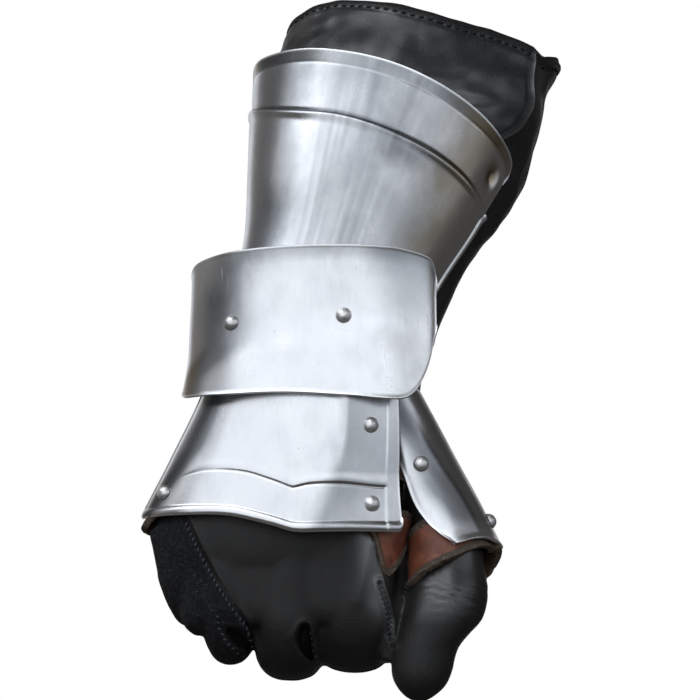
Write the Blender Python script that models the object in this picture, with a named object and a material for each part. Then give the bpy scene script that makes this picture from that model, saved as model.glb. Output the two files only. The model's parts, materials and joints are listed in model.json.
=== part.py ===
"""Right-hand armoured gauntlet: four steel plates riveted to leathers, worn over a long black leather glove.

Metres, +Z up, fingers hanging down. The back of the hand faces -Y, the palm +Y, and the thumb is on +X.
The origin is the middle of the wrist. The forearm leans away from the hand's axis, to +X and to +Y.
The tables are in millimetres and degrees. A section is an ellipse: centre x, centre y, half width, half depth.
An angle is measured round a section from its front (-Y) towards +X, and a height is along +Z.
"""

import math
from bisect import bisect_right

import bmesh
import bpy
from mathutils import Matrix, Vector

MM = 0.001
GAP = 0.3  # free space between touching pieces

# Forearm axis, measured from the hand's axis (+Z)
FOREARM_TILT = 18.0  # towards the thumb side
FOREARM_LEAN = 15.0  # towards the palm side

GLOVE_WALL = 1.5
STRAP_THICKNESS = 2.0
LINK_THICKNESS = 1.6
PLATE_THICKNESS = 1.2

THROUGH = 3.0  # how far an inner form runs on past an open end

RIVET_HEAD_RADIUS = 3.2
RIVET_HEAD_HEIGHT = 2.3
RIVET_SHANK_RADIUS = 1.5
RIVET_TAIL_RADIUS = 2.3
RIVET_TAIL_HEIGHT = 0.6
RIVET_HOLE_RADIUS = 1.9

# Sides of the round forms
RIVET_SEGMENTS = 10
HAND_SEGMENTS = 26
THUMB_SEGMENTS = 16
FINGER_SEGMENTS = 12

HAND_FRAME = Matrix.Identity(4)
FOREARM_FRAME = Matrix.Rotation(math.radians(FOREARM_TILT), 4, "Y") @ Matrix.Rotation(
    math.radians(-FOREARM_LEAN), 4, "X"
)

# Glove from the knuckles to the wrist, in the hand's frame:
# height, centre x, centre y, half width, half depth
GLOVE_HAND_ROWS = [
    (-103.0, -23.0, -2.5, 46.0, 15.5),
    (-94.0, -23.0, -2.5, 47.2, 18.0),
    (-80.0, -21.0, -2.0, 48.7, 19.5),
    (-62.0, -12.4, -1.5, 44.0, 20.0),
    (-40.0, -6.5, -1.0, 42.0, 20.8),
    (-18.0, -2.0, -0.5, 40.0, 20.5),
]
# Glove from the wrist to the hem, along the forearm:
# height, centre x, centre y, half width, half depth, slant of the section about Y, turn about the forearm
GLOVE_CUFF_ROWS = [
    (14.0, 0.0, 2.0, 42.3, 20.8, 0.0, 0.0),
    (31.0, 0.3, 3.0, 43.0, 22.0, 0.0, 1.0),
    (46.0, 1.0, 3.0, 45.4, 25.0, 0.0, 3.0),
    (60.0, 1.8, 2.5, 48.8, 28.0, -1.0, 5.0),
    (76.0, 2.4, 1.6, 54.2, 31.6, -2.5, 7.0),
    (92.0, 2.0, 0.5, 58.2, 33.8, -4.5, 8.5),
    (108.0, 0.5, 0.0, 59.2, 35.0, -7.0, 9.5),
    (138.2, -0.9, 0.0, 60.4, 36.6, -12.0, 10.0),
]
CUFF_SPLIT = 4.0  # height along the glove where its cuff ends and its wrist begins
WRIST_SPLIT = -27.0  # height where the wrist ends and the hand begins, just above the root of the thumb

# Fingers: name, centre x at the root and at the bend, centre y, lowest point of the bend, half width, half depth,
# length of the bone between the two bends, radius of the bends
FINGERS = [
    ("index", 9.8, 10.6, -6.0, -140.3, 14.8, 12.2, 4.0, 13.0),
    ("middle", -17.3, -17.1, -7.5, -142.7, 11.9, 12.4, 5.0, 13.0),
    ("ring", -41.0, -40.2, -6.5, -136.6, 10.7, 12.0, 4.0, 12.5),
    ("little", -61.0, -59.8, -2.0, -123.5, 8.5, 9.8, 6.0, 10.5),
]
FINGER_ROOT = -83.0  # height where a finger's tube starts, inside the hand
FINGER_SPLIT = -107.0  # height where the hand's leather hands over to the finger's

# Thumb of the glove: height, centre x, centre y, half width, half depth
THUMB_ROWS = [
    (-151.8, 36.0, -11.5, 2.5, 2.5),
    (-150.2, 36.0, -11.5, 5.2, 5.0),
    (-146.0, 36.5, -11.5, 9.4, 8.8),
    (-141.0, 36.8, -11.0, 11.7, 11.0),
    (-131.0, 38.6, -9.8, 12.5, 12.1),
    (-125.0, 42.0, -8.5, 13.8, 13.0),
    (-119.0, 45.3, -7.0, 15.8, 14.0),
    (-110.0, 47.4, -5.6, 15.8, 14.2),
    (-98.0, 48.0, -3.0, 14.4, 13.5),
    (-84.0, 47.0, 0.0, 14.0, 14.0),
    (-66.0, 40.5, 3.5, 15.0, 13.5),
    (-48.0, 32.0, 4.5, 15.5, 13.5),
    (-30.0, 23.0, 4.5, 15.0, 14.0),
]
THUMB_SPLIT = -89.0

# Steel plates, outer faces. Sections are (height, centre x, centre y, half width, half depth).
# Edges are (angle, lower edge, upper edge), and run from the plate's left end to its right end.
CUFF_PLATE_SECTIONS = [
    (5.0, -3.4, -1.5, 42.5, 26.5),
    (25.0, -3.6, 0.0, 43.0, 31.5),
    (54.0, -4.0, 0.0, 50.2, 37.5),
    (87.0, -4.8, 0.0, 58.4, 43.5),
    (96.0, -5.0, 0.0, 60.8, 45.3),
    (104.0, -5.0, 0.0, 64.5, 49.0),
]
CUFF_PLATE_EDGES = [
    (-97.0, 10.0, 99.0),
    (-90.0, 9.0, 103.0),
    (-60.0, 8.0, 100.5),
    (-30.0, 8.0, 102.0),
    (0.0, 9.0, 102.8),
    (30.0, 10.5, 100.5),
    (55.0, 10.0, 96.5),
    (67.0, 9.0, 93.0),
    (72.0, 9.0, 89.0),
]
WRIST_PLATE_SECTIONS = [
    (-34.0, -6.0, 0.0, 55.2, 30.5),
    (-15.0, -5.5, 0.0, 52.3, 28.8),
    (0.0, -5.0, 0.0, 51.6, 27.0),
    (15.0, -4.8, 0.0, 51.3, 28.0),
    (30.0, -4.5, 0.0, 52.2, 31.0),
]
WRIST_PLATE_EDGES = [
    (-96.0, -28.5, 25.5),
    (-75.0, -29.0, 27.0),
    (-41.0, -30.3, 29.0),
    (-11.0, -30.4, 29.4),
    (15.0, -31.8, 29.5),
    (37.0, -33.0, 28.6),
    (45.0, -31.0, 27.6),
    (54.0, -24.0, 26.4),
    (62.0, -15.0, 24.8),
    (69.0, -3.0, 21.5),
]
HAND_PLATE_SECTIONS = [
    (-90.0, -10.5, 1.0, 68.7, 27.8),
    (-78.3, -9.5, 1.0, 67.0, 27.9),
    (-54.0, -5.5, 0.5, 59.2, 27.4),
    (-30.0, -2.0, 0.0, 51.3, 26.3),
    (-16.0, -1.0, 0.0, 47.5, 25.5),
]
HAND_PLATE_EDGES = [
    (-90.0, -78.3, -18.0),
    (-75.0, -77.0, -17.5),
    (-60.0, -76.1, -17.0),
    (-40.0, -75.4, -16.5),
    (-27.0, -77.6, -16.0),
    (-12.0, -82.6, -16.0),
    (-2.0, -86.6, -16.0),
    (6.0, -85.8, -16.0),
    (16.0, -85.1, -16.5),
    (35.0, -84.0, -17.0),
]
THUMB_PLATE_SECTIONS = [
    (-92.0, 48.9, -1.0, 22.0, 20.0),
    (-89.5, 48.5, -1.0, 21.5, 19.6),
    (-84.0, 47.6, 0.0, 19.8, 19.4),
    (-70.0, 42.2, 2.0, 18.5, 19.8),
    (-56.0, 35.5, 3.5, 17.8, 20.2),
    (-43.0, 28.7, 3.0, 17.8, 19.8),
    (-26.0, 20.5, 0.0, 19.6, 20.8),
]
THUMB_PLATE_EDGES = [
    (-5.0, -91.5, -26.0),
    (0.0, -90.5, -26.0),
    (10.0, -89.6, -26.0),
    (27.0, -87.9, -26.0),
    (45.0, -87.3, -26.0),
    (60.0, -87.8, -26.0),
    (90.0, -89.6, -26.0),
    (110.0, -91.0, -26.0),
]
# Left end of the thumb plate at each height: it leans back in the middle and forward to a sharp lower corner.
THUMB_PLATE_LEFT_ENDS = [
    (-92.0, 5.0),
    (-89.0, -2.0),
    (-84.0, -13.0),
    (-79.0, -22.0),
    (-70.0, -31.0),
    (-60.0, -26.0),
    (-53.0, -20.0),
    (-46.0, -10.0),
    (-26.0, -5.0),
]

# Leathers, outer faces, laid out as the plates are
WRIST_LEATHER_SECTIONS = [
    (-34.0, -4.0, 0.0, 38.4, 24.0),
    (-16.0, -3.5, 0.0, 40.8, 23.9),
    (0.0, -3.0, 0.0, 45.0, 24.0),
    (24.0, 0.0, 2.0, 46.0, 23.4),
]
WRIST_LEATHER_EDGES = [
    (-58.0, -8.0, 13.0),
    (-45.0, -13.0, 14.0),
    (-30.0, -28.0, 16.0),
    (-10.0, -31.0, 18.0),
    (28.0, -31.0, 18.0),
]
PALM_STRAP_SECTIONS = [
    (-104.0, -22.9, -2.5, 49.8, 22.8),
    (-94.0, -22.9, -2.5, 50.7, 23.4),
    (-80.0, -21.0, -2.0, 52.1, 23.8),
    (-70.0, -17.0, -1.8, 49.9, 23.8),
    (-62.0, -14.0, -1.5, 48.1, 23.8),
    (-50.0, -10.2, -1.0, 46.4, 23.8),
]
# Angle, lower edge, upper edge, and how far the strap stands out of its section to pass round the index
PALM_STRAP_EDGES = [
    (38.0, -85.0, -68.0, 1.2),
    (53.0, -90.0, -70.0, 2.6),
    (66.0, -98.0, -76.0, 2.6),
    (80.0, -100.0, -81.0, 1.2),
    (95.0, -100.0, -82.0, 0.6),
    (130.0, -98.0, -78.0, 0.0),
    (180.0, -94.0, -70.0, 0.0),
    (240.0, -89.0, -64.0, 0.0),
    (275.0, -86.5, -60.0, 0.9),
    (302.0, -85.5, -58.0, -0.9),
]
THUMB_STRAP_SECTIONS = [
    (-110.0, 47.8, -4.5, 18.3, 17.9),
    (-98.0, 48.6, -2.7, 18.2, 17.6),
    (-90.0, 49.0, -1.5, 18.3, 17.4),
    (-84.0, 47.6, -0.5, 17.1, 17.0),
    (-79.0, 46.3, 0.2, 16.0, 16.8),
    (-74.0, 44.6, 1.0, 15.8, 16.8),
]
# Angle, lower edge, upper edge, and how far the strap stands out of its section where its ends lap
THUMB_STRAP_EDGES = [
    (76.0, -92.0, -85.0, -1.6),
    (95.0, -94.0, -85.0, -1.4),
    (125.0, -101.0, -86.0, 0.0),
    (180.0, -107.0, -87.0, 0.0),
    (285.0, -106.4, -84.5, 0.0),
    (325.0, -100.6, -80.0, 0.0),
    (360.0, -95.5, -77.0, 0.0),
    (395.0, -91.0, -76.0, 0.0),
    (425.0, -90.3, -76.0, 0.7),
    (450.0, -92.5, -76.0, 0.7),
]
# Link from the hand plate to the thumb plate: x, y, lower edge, upper edge
THUMB_LINK_ROWS = [
    (9.0, -23.0, -52.0, -34.0),
    (18.0, -21.6, -55.0, -37.0),
    (24.0, -18.6, -60.0, -43.0),
    (29.0, -13.2, -64.0, -50.0),
    (33.0, -13.7, -65.0, -51.0),
    (40.0, -13.1, -65.0, -52.0),
]

# Rivets: name, plate, angle, height, grip between head and tail
RIVETS = [
    ("wrist_rivet_outer", "wrist_plate", -40.9, -0.8, 7.2),
    ("wrist_rivet_inner", "wrist_plate", 12.4, 1.0, 4.8),
    ("hand_rivet_top", "hand_plate", 21.3, -43.0, 4.7),
    ("hand_rivet_bottom", "hand_plate", 23.9, -74.6, 6.5),
    ("hand_rivet_corner", "hand_plate", -66.5, -68.6, 5.5),
    ("thumb_rivet_front", "thumb_plate", 1.5, -57.8, 5.5),
    ("thumb_rivet_side", "thumb_plate", 82.0, -79.3, 4.1),
]


def remove_scene_objects():
    for obj in list(bpy.data.objects):
        bpy.data.objects.remove(obj)


def material(name, colour, roughness, metallic):
    made = bpy.data.materials.new(name)
    made.use_nodes = True
    shader = made.node_tree.nodes["Principled BSDF"]
    shader.inputs["Base Color"].default_value = (*colour, 1.0)
    shader.inputs["Roughness"].default_value = roughness
    shader.inputs["Metallic"].default_value = metallic
    return made


def add_object(name, bm, finish=None, smooth_angle=35.0):
    """Turns millimetres to metres and adds the mesh: a piece if it has a finish, else a hidden cutter."""
    bmesh.ops.scale(bm, vec=(MM, MM, MM), verts=bm.verts)
    mesh = bpy.data.meshes.new(name)
    bm.to_mesh(mesh)
    bm.free()
    mesh.shade_smooth()
    mesh.set_sharp_from_angle(angle=math.radians(smooth_angle))
    obj = bpy.data.objects.new(name, mesh)
    bpy.context.scene.collection.objects.link(obj)
    if finish:
        mesh.materials.append(finish)
    else:
        obj.hide_render = True
        obj.display_type = "WIRE"
    return obj


def boolean(obj, other, operation):
    modifier = obj.modifiers.new(f"{operation.lower()} {other.name}", "BOOLEAN")
    modifier.operation = operation
    modifier.solver = "EXACT"
    modifier.object = other


def read(rows, level):
    """The columns of a table at any level of its first column, on a smooth curve through its rows."""
    levels = [row[0] for row in rows]
    i = max(0, min(len(rows) - 2, bisect_right(levels, level) - 1))
    step = levels[i + 1] - levels[i]
    t = (level - levels[i]) / step
    if t < 0.0 or t > 1.0:
        return [b + (c - b) * t for b, c in zip(rows[i][1:], rows[i + 1][1:])]
    before = rows[max(i - 1, 0)]
    after = rows[min(i + 2, len(rows) - 1)]
    values = []
    for a, b, c, d in zip(before[1:], rows[i][1:], rows[i + 1][1:], after[1:]):
        slope_b = (c - a) / (levels[i + 1] - before[0]) * step
        slope_c = (d - b) / (after[0] - levels[i]) * step
        values.append(
            b * (1 + 2 * t) * (1 - t) ** 2
            + slope_b * t * (1 - t) ** 2
            + c * t * t * (3 - 2 * t)
            - slope_c * t * t * (1 - t)
        )
    return values


def spread(start, end, count):
    return [start + (end - start) * i / count for i in range(count + 1)]


# Lofted tubes: the glove


def ring(centre, half_width, half_depth, tilt=0.0, lean=0.0, turn=0.0):
    """Places the unit circle of XY as an ellipse, turned about its own axis, then by lean about X and tilt about Y."""
    turned = Matrix.Rotation(math.radians(tilt), 4, "Y") @ Matrix.Rotation(math.radians(-lean), 4, "X")
    turned = turned @ Matrix.Rotation(math.radians(turn), 4, "Z")
    return Matrix.Translation(centre) @ turned @ Matrix.Diagonal((half_width, half_depth, half_width, 1.0))


def loft(name, rings, segments):
    """A closed tube through the rings, with flat ends."""
    bm = bmesh.new()
    bmesh.ops.create_circle(bm, segments=segments, radius=1.0, cap_ends=True)
    bmesh.ops.transform(bm, matrix=rings[0], verts=bm.verts)
    edges = list(bm.edges)
    for before, after in zip(rings, rings[1:]):
        made = bmesh.ops.extrude_edge_only(bm, edges=edges)["geom"]
        verts = [part for part in made if isinstance(part, bmesh.types.BMVert)]
        edges = [part for part in made if isinstance(part, bmesh.types.BMEdge)]
        bmesh.ops.transform(bm, matrix=after @ before.inverted(), verts=verts)
    bmesh.ops.contextual_create(bm, geom=edges)
    bmesh.ops.recalc_face_normals(bm, faces=bm.faces)
    return add_object(name, bm)


def glove_rows():
    """Hand and forearm in one table: height, centre x, y, z, half width, half depth, tilt, lean, turn."""
    rows = []
    for height, x, y, half_width, half_depth in GLOVE_HAND_ROWS:
        rows.append((height, x, y, height, half_width, half_depth, 0.0, 0.0, 0.0))
    for height, x, y, half_width, half_depth, slant, turn in GLOVE_CUFF_ROWS:
        centre = FOREARM_FRAME @ Vector((x, y, height))
        rows.append((height, *centre, half_width, half_depth, FOREARM_TILT + slant, FOREARM_LEAN, turn))
    return rows


def glove_rings(heights, inset):
    rings = []
    rows = glove_rows()
    for height in heights:
        x, y, z, half_width, half_depth, tilt, lean, turn = read(rows, height)
        rings.append(ring((x, y, z), half_width - inset, half_depth - inset, tilt, lean, turn))
    return rings


def thumb_rings(heights, inset):
    rings = []
    for height in heights:
        x, y, half_width, half_depth = read(THUMB_ROWS, height)
        rings.append(ring((x, y, height), half_width - inset, half_depth - inset))
    return rings


def finger_rings(finger, start, stop, inset, count):
    """Rings along a finger that hangs straight down, then bends back and up to its tip.

    start and stop are lengths along its middle line from the root. With no stop, it ends in its round tip.
    """
    _, root_x, bend_x, y, lowest, half_width, half_depth, bone, radius = finger
    low = lowest + half_depth
    straight = FINGER_ROOT - (low + radius)
    quarter = radius * math.pi / 2
    size = Vector((half_width - inset, half_depth - inset))
    rings = []

    def add(length, shrink, beyond):
        x = root_x + (bend_x - root_x) * min(length / straight, 1.0)
        if length <= straight:
            point, lean = Vector((x, y, FINGER_ROOT - length)), 0.0
        elif length <= straight + quarter:
            lean = (length - straight) / radius
            point = Vector((x, y + radius - radius * math.cos(lean), low + radius - radius * math.sin(lean)))
        elif length <= straight + quarter + bone:
            lean = math.pi / 2
            point = Vector((x, y + radius + length - straight - quarter, low))
        else:
            lean = (length - straight - quarter - bone) / radius + math.pi / 2
            middle = Vector((x, y + radius + bone, low + radius))
            point = middle + Vector((0.0, -radius * math.cos(lean), -radius * math.sin(lean)))
        ahead = Vector((0.0, math.sin(lean), -math.cos(lean)))
        rings.append(
            ring(point + ahead * beyond, size.x * shrink, size.y * shrink, lean=-math.degrees(lean))
        )

    end = straight + 2 * quarter + bone if stop is None else stop
    for length in spread(start, end, count):
        add(length, 1.0, 0.0)
    if stop is None:
        for turn in (35.0, 65.0, 85.0):
            add(end, math.cos(math.radians(turn)), size.y * math.sin(math.radians(turn)))
    return rings


def hollow(name, outer, inner, finish):
    """The wall between two closed tubes."""
    boolean(outer, inner, "DIFFERENCE")
    outer.name = name
    outer.hide_render = False
    outer.display_type = "TEXTURED"
    outer.data.materials.append(finish)
    return outer


def build_glove_cuff(leather):
    heights = [row[0] for row in GLOVE_CUFF_ROWS]
    outer = [CUFF_SPLIT + GAP, *heights]
    inner = [CUFF_SPLIT - THROUGH, *heights, heights[-1] + THROUGH]
    outside = loft("cuff_outside", glove_rings(outer, 0.0), HAND_SEGMENTS)
    inside = loft("cuff_inside", glove_rings(inner, GLOVE_WALL), HAND_SEGMENTS)
    hollow("glove_cuff", outside, inside, leather)


def build_glove_wrist(leather):
    outer = spread(WRIST_SPLIT + GAP, CUFF_SPLIT, 3)
    inner = spread(WRIST_SPLIT - THROUGH, CUFF_SPLIT + THROUGH, 4)
    outside = loft("wrist_outside", glove_rings(outer, 0.0), HAND_SEGMENTS)
    inside = loft("wrist_inside", glove_rings(inner, GLOVE_WALL), HAND_SEGMENTS)
    hollow("glove_wrist", outside, inside, leather)


def build_glove_hand(leather):
    """The hand with the roots of the thumb and the fingers, each open where the next piece goes on."""
    knuckles = GLOVE_HAND_ROWS[0][0]
    outer = spread(knuckles, WRIST_SPLIT, 5)
    inner = spread(knuckles + GLOVE_WALL, WRIST_SPLIT + THROUGH, 5)
    hand = loft("hand_outside", glove_rings(outer, 0.0), HAND_SEGMENTS)
    space = loft("hand_inside", glove_rings(inner, GLOVE_WALL), HAND_SEGMENTS)
    thumb_top = THUMB_ROWS[-1][0]
    outer = spread(THUMB_SPLIT, thumb_top, 4)
    inner = spread(THUMB_SPLIT - THROUGH, thumb_top, 4)
    boolean(hand, loft("thumb_root", thumb_rings(outer, 0.0), THUMB_SEGMENTS), "UNION")
    boolean(space, loft("thumb_root_inside", thumb_rings(inner, GLOVE_WALL), THUMB_SEGMENTS), "UNION")
    split = FINGER_ROOT - FINGER_SPLIT
    for finger in FINGERS:
        outer = finger_rings(finger, 0.0, split, 0.0, 1)
        inner = finger_rings(finger, 0.0, split + THROUGH, GLOVE_WALL, 1)
        boolean(hand, loft(f"{finger[0]}_root", outer, FINGER_SEGMENTS), "UNION")
        boolean(space, loft(f"{finger[0]}_root_inside", inner, FINGER_SEGMENTS), "UNION")
    hollow("glove_hand", hand, space, leather)


def build_glove_finger(finger, finish):
    name = finger[0]
    split = FINGER_ROOT - FINGER_SPLIT
    outer = finger_rings(finger, split + GAP, None, 0.0, 6)
    inner = finger_rings(finger, split - THROUGH, None, GLOVE_WALL, 6)
    outside = loft(f"{name}_outside", outer, FINGER_SEGMENTS)
    inside = loft(f"{name}_inside", inner, FINGER_SEGMENTS)
    hollow(f"glove_{name}", outside, inside, finish)


def build_glove_thumb(leather):
    heights = [row[0] for row in THUMB_ROWS if row[0] < THUMB_SPLIT]
    outer = [*heights, THUMB_SPLIT - GAP]
    inner = [heights[0] + GLOVE_WALL, *heights[2:], THUMB_SPLIT + THROUGH]
    outside = loft("thumb_outside", thumb_rings(outer, 0.0), THUMB_SEGMENTS)
    inside = loft("thumb_inside", thumb_rings(inner, GLOVE_WALL), THUMB_SEGMENTS)
    hollow("glove_thumb", outside, inside, leather)


def build_glove(leather, suede):
    build_glove_cuff(leather)
    build_glove_wrist(leather)
    build_glove_hand(leather)
    for finger in FINGERS:
        build_glove_finger(finger, suede if finger[0] == "little" else leather)
    build_glove_thumb(leather)


# Sheets: the plates and the straps


def on_section(sections, angle, height, outward=0.0):
    x, y, half_width, half_depth = read(sections, height)
    turn = math.radians(angle)
    return Vector(
        (
            x + (half_width + outward) * math.sin(turn),
            y - (half_depth + outward) * math.cos(turn),
            height,
        )
    )


def sheet(name, place, columns, rows, thickness, finish):
    """A wall whose outer face is place(across, up), both from 0 to 1, and which thickens inwards."""
    bm = bmesh.new()
    bmesh.ops.create_grid(bm, x_segments=columns, y_segments=rows, size=0.5)
    for vert in bm.verts:
        vert.co = place(vert.co.x + 0.5, vert.co.y + 0.5)
    obj = add_object(name, bm, finish)
    wall = obj.modifiers.new("wall", "SOLIDIFY")
    wall.thickness = thickness * MM
    wall.offset = -1.0
    wall.use_even_offset = True
    return obj


def banded(sections, edges, frame=HAND_FRAME, left_ends=None):
    """The outer face of a piece bent along its sections, from its first edge row's angle to its last."""

    def place(across, up):
        angle = edges[0][0] + (edges[-1][0] - edges[0][0]) * across
        low, high, *outward = read(edges, angle)
        height = low + (high - low) * up
        if left_ends:
            left = read(left_ends, height)[0]
            angle = left + (edges[-1][0] - left) * across
            low, high, *outward = read(edges, angle)
            height = low + (high - low) * up
        return frame @ on_section(sections, angle, height, *outward)

    return place


def thumb_link_place(across, up):
    x = THUMB_LINK_ROWS[0][0] + (THUMB_LINK_ROWS[-1][0] - THUMB_LINK_ROWS[0][0]) * across
    y, low, high = read(THUMB_LINK_ROWS, x)
    return Vector((x, y, low + (high - low) * up))


def build_sheets(steel, leather):
    cuff_plate = banded(CUFF_PLATE_SECTIONS, CUFF_PLATE_EDGES, frame=FOREARM_FRAME)
    wrist_plate = banded(WRIST_PLATE_SECTIONS, WRIST_PLATE_EDGES)
    hand_plate = banded(HAND_PLATE_SECTIONS, HAND_PLATE_EDGES)
    thumb_plate = banded(THUMB_PLATE_SECTIONS, THUMB_PLATE_EDGES, left_ends=THUMB_PLATE_LEFT_ENDS)
    wrist_leather = banded(WRIST_LEATHER_SECTIONS, WRIST_LEATHER_EDGES)
    palm_strap = banded(PALM_STRAP_SECTIONS, PALM_STRAP_EDGES)
    thumb_strap = banded(THUMB_STRAP_SECTIONS, THUMB_STRAP_EDGES)
    sheets = {}
    for name, place, columns, rows, thickness, finish in (
        ("cuff_plate", cuff_plate, 20, 9, PLATE_THICKNESS, steel),
        ("wrist_plate", wrist_plate, 22, 6, PLATE_THICKNESS, steel),
        ("hand_plate", hand_plate, 20, 6, PLATE_THICKNESS, steel),
        ("thumb_plate", thumb_plate, 12, 8, PLATE_THICKNESS, steel),
        ("wrist_leather", wrist_leather, 10, 3, LINK_THICKNESS, leather),
        ("thumb_link", thumb_link_place, 10, 2, LINK_THICKNESS, leather),
        ("palm_strap", palm_strap, 28, 2, STRAP_THICKNESS, leather),
        ("thumb_strap", thumb_strap, 28, 2, STRAP_THICKNESS, leather),
    ):
        sheets[name] = sheet(name, place, columns, rows, thickness, finish)
    return sheets


# Rivets


def surface_frame(sections, angle, height):
    """A matrix at a point of a plate's outer face, with +Z outwards."""
    point = on_section(sections, angle, height)
    across = on_section(sections, angle + 1.0, height) - on_section(sections, angle - 1.0, height)
    up = on_section(sections, angle, height + 1.0) - on_section(sections, angle, height - 1.0)
    outward = across.cross(up).normalized()
    across.normalize()
    turned = Matrix((across, outward.cross(across), outward)).transposed()
    return Matrix.Translation(point) @ turned.to_4x4()


def rivet_mesh(place, grip):
    """A domed head, a shank and a flat peened tail, turned about one axis."""
    radius_of_dome = (RIVET_HEAD_RADIUS**2 + RIVET_HEAD_HEIGHT**2) / (2 * RIVET_HEAD_HEIGHT)
    outline = [(0.0, GAP + RIVET_HEAD_HEIGHT)]
    for share in (0.55, 1.0):
        radius = RIVET_HEAD_RADIUS * share
        drop = radius_of_dome - math.sqrt(radius_of_dome**2 - radius**2)
        outline.append((radius, GAP + RIVET_HEAD_HEIGHT - drop))
    outline += [
        (RIVET_SHANK_RADIUS, GAP),
        (RIVET_SHANK_RADIUS, -grip),
        (RIVET_TAIL_RADIUS, -grip),
        (RIVET_TAIL_RADIUS, -grip - RIVET_TAIL_HEIGHT),
        (0.0, -grip - RIVET_TAIL_HEIGHT),
    ]
    bm = bmesh.new()
    verts = [bm.verts.new((radius, 0.0, z)) for radius, z in outline]
    edges = [bm.edges.new(pair) for pair in zip(verts, verts[1:])]
    bmesh.ops.spin(
        bm,
        geom=verts + edges,
        axis=(0.0, 0.0, 1.0),
        cent=(0.0, 0.0, 0.0),
        angle=math.tau,
        steps=RIVET_SEGMENTS,
        use_merge=True,
    )
    bmesh.ops.remove_doubles(bm, verts=bm.verts, dist=0.001)
    bmesh.ops.recalc_face_normals(bm, faces=bm.faces)
    bmesh.ops.transform(bm, matrix=place, verts=bm.verts)
    return bm


def hole(name, place, depth):
    bm = bmesh.new()
    bmesh.ops.create_cone(
        bm,
        cap_ends=True,
        segments=RIVET_SEGMENTS,
        radius1=RIVET_HOLE_RADIUS,
        radius2=RIVET_HOLE_RADIUS,
        depth=2 * depth,
    )
    bmesh.ops.transform(bm, matrix=place, verts=bm.verts)
    return add_object(name, bm)


def build_rivets(sheets, steel):
    plates = {
        "wrist_plate": (WRIST_PLATE_SECTIONS, ["wrist_leather"]),
        "hand_plate": (HAND_PLATE_SECTIONS, ["palm_strap", "thumb_link"]),
        "thumb_plate": (THUMB_PLATE_SECTIONS, ["thumb_link", "thumb_strap"]),
    }
    for name, plate, angle, height, grip in RIVETS:
        sections, leathers = plates[plate]
        place = surface_frame(sections, angle, height)
        add_object(name, rivet_mesh(place, grip), steel)
        cutter = hole(f"{name}_hole", place, grip + 3.0)
        for piece in [plate, *leathers]:
            boolean(sheets[piece], cutter, "DIFFERENCE")


def main():
    remove_scene_objects()
    steel = material("polished steel", (0.62, 0.61, 0.59), 0.3, 1.0)
    rivet_steel = material("rivet steel", (0.5, 0.49, 0.47), 0.35, 1.0)
    brown_leather = material("brown leather", (0.2, 0.075, 0.04), 0.65, 0.0)
    black_leather = material("black leather", (0.018, 0.019, 0.022), 0.42, 0.0)
    black_suede = material("black suede", (0.012, 0.013, 0.017), 0.95, 0.0)
    sheets = build_sheets(steel, brown_leather)
    build_rivets(sheets, rivet_steel)
    build_glove(black_leather, black_suede)


main()
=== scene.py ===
"""Looks of a right-hand armoured gauntlet: steel plates on brown leathers, over a long black leather glove.

Blender works in metres. The tables are in millimetres and degrees, in the model's own frame: +Z up the
hand, fingers hanging down, the back of the hand facing -Y, the thumb on +X and the origin in the middle of
the wrist. A section is an ellipse: centre x, centre y, half width, half depth. An angle runs from its
front (-Y) towards +X.
"""

import math
from bisect import bisect_right

import bmesh
import bpy
import numpy as np
from mathutils import Matrix, Vector, noise
from mathutils.bvhtree import BVHTree
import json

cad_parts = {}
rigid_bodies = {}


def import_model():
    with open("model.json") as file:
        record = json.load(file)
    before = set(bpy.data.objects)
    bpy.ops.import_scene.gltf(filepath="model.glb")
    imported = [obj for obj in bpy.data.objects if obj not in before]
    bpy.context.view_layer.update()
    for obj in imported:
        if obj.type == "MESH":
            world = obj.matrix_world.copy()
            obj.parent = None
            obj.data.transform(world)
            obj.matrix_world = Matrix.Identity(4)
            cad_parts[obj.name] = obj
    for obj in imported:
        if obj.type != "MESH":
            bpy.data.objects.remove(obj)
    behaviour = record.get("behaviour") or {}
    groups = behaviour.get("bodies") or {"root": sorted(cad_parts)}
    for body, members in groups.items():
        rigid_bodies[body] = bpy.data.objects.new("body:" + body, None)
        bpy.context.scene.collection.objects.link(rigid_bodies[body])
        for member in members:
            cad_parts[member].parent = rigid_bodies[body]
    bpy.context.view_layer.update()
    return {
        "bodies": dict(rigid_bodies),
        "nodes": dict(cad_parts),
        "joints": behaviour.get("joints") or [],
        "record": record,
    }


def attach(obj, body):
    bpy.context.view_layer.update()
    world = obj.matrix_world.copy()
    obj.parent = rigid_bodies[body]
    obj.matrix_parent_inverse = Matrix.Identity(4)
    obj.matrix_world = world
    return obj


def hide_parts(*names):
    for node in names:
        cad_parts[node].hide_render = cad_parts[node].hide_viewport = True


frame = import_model()

MM = 0.001

# ---------------------------------------------------------------- sizes

FOREARM_TILT = 18.0
FOREARM_LEAN = 15.0
GLOVE_WALL = 1.5
STRAP_THICKNESS = 2.6
LINK_THICKNESS = 1.6
PLATE_THICKNESS = 1.2

RIVET_HEAD_RADIUS = 3.25
RIVET_HEAD_HEIGHT = 2.7
RIVET_SHANK_RADIUS = 1.5
RIVET_TAIL_RADIUS = 2.3
RIVET_TAIL_HEIGHT = 0.5

HAND_FRAME = Matrix.Identity(4)
FOREARM_FRAME = Matrix.Rotation(math.radians(FOREARM_TILT), 4, "Y") @ Matrix.Rotation(
    math.radians(-FOREARM_LEAN), 4, "X"
)

# ---------------------------------------------------------------- the glove's forms

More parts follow.
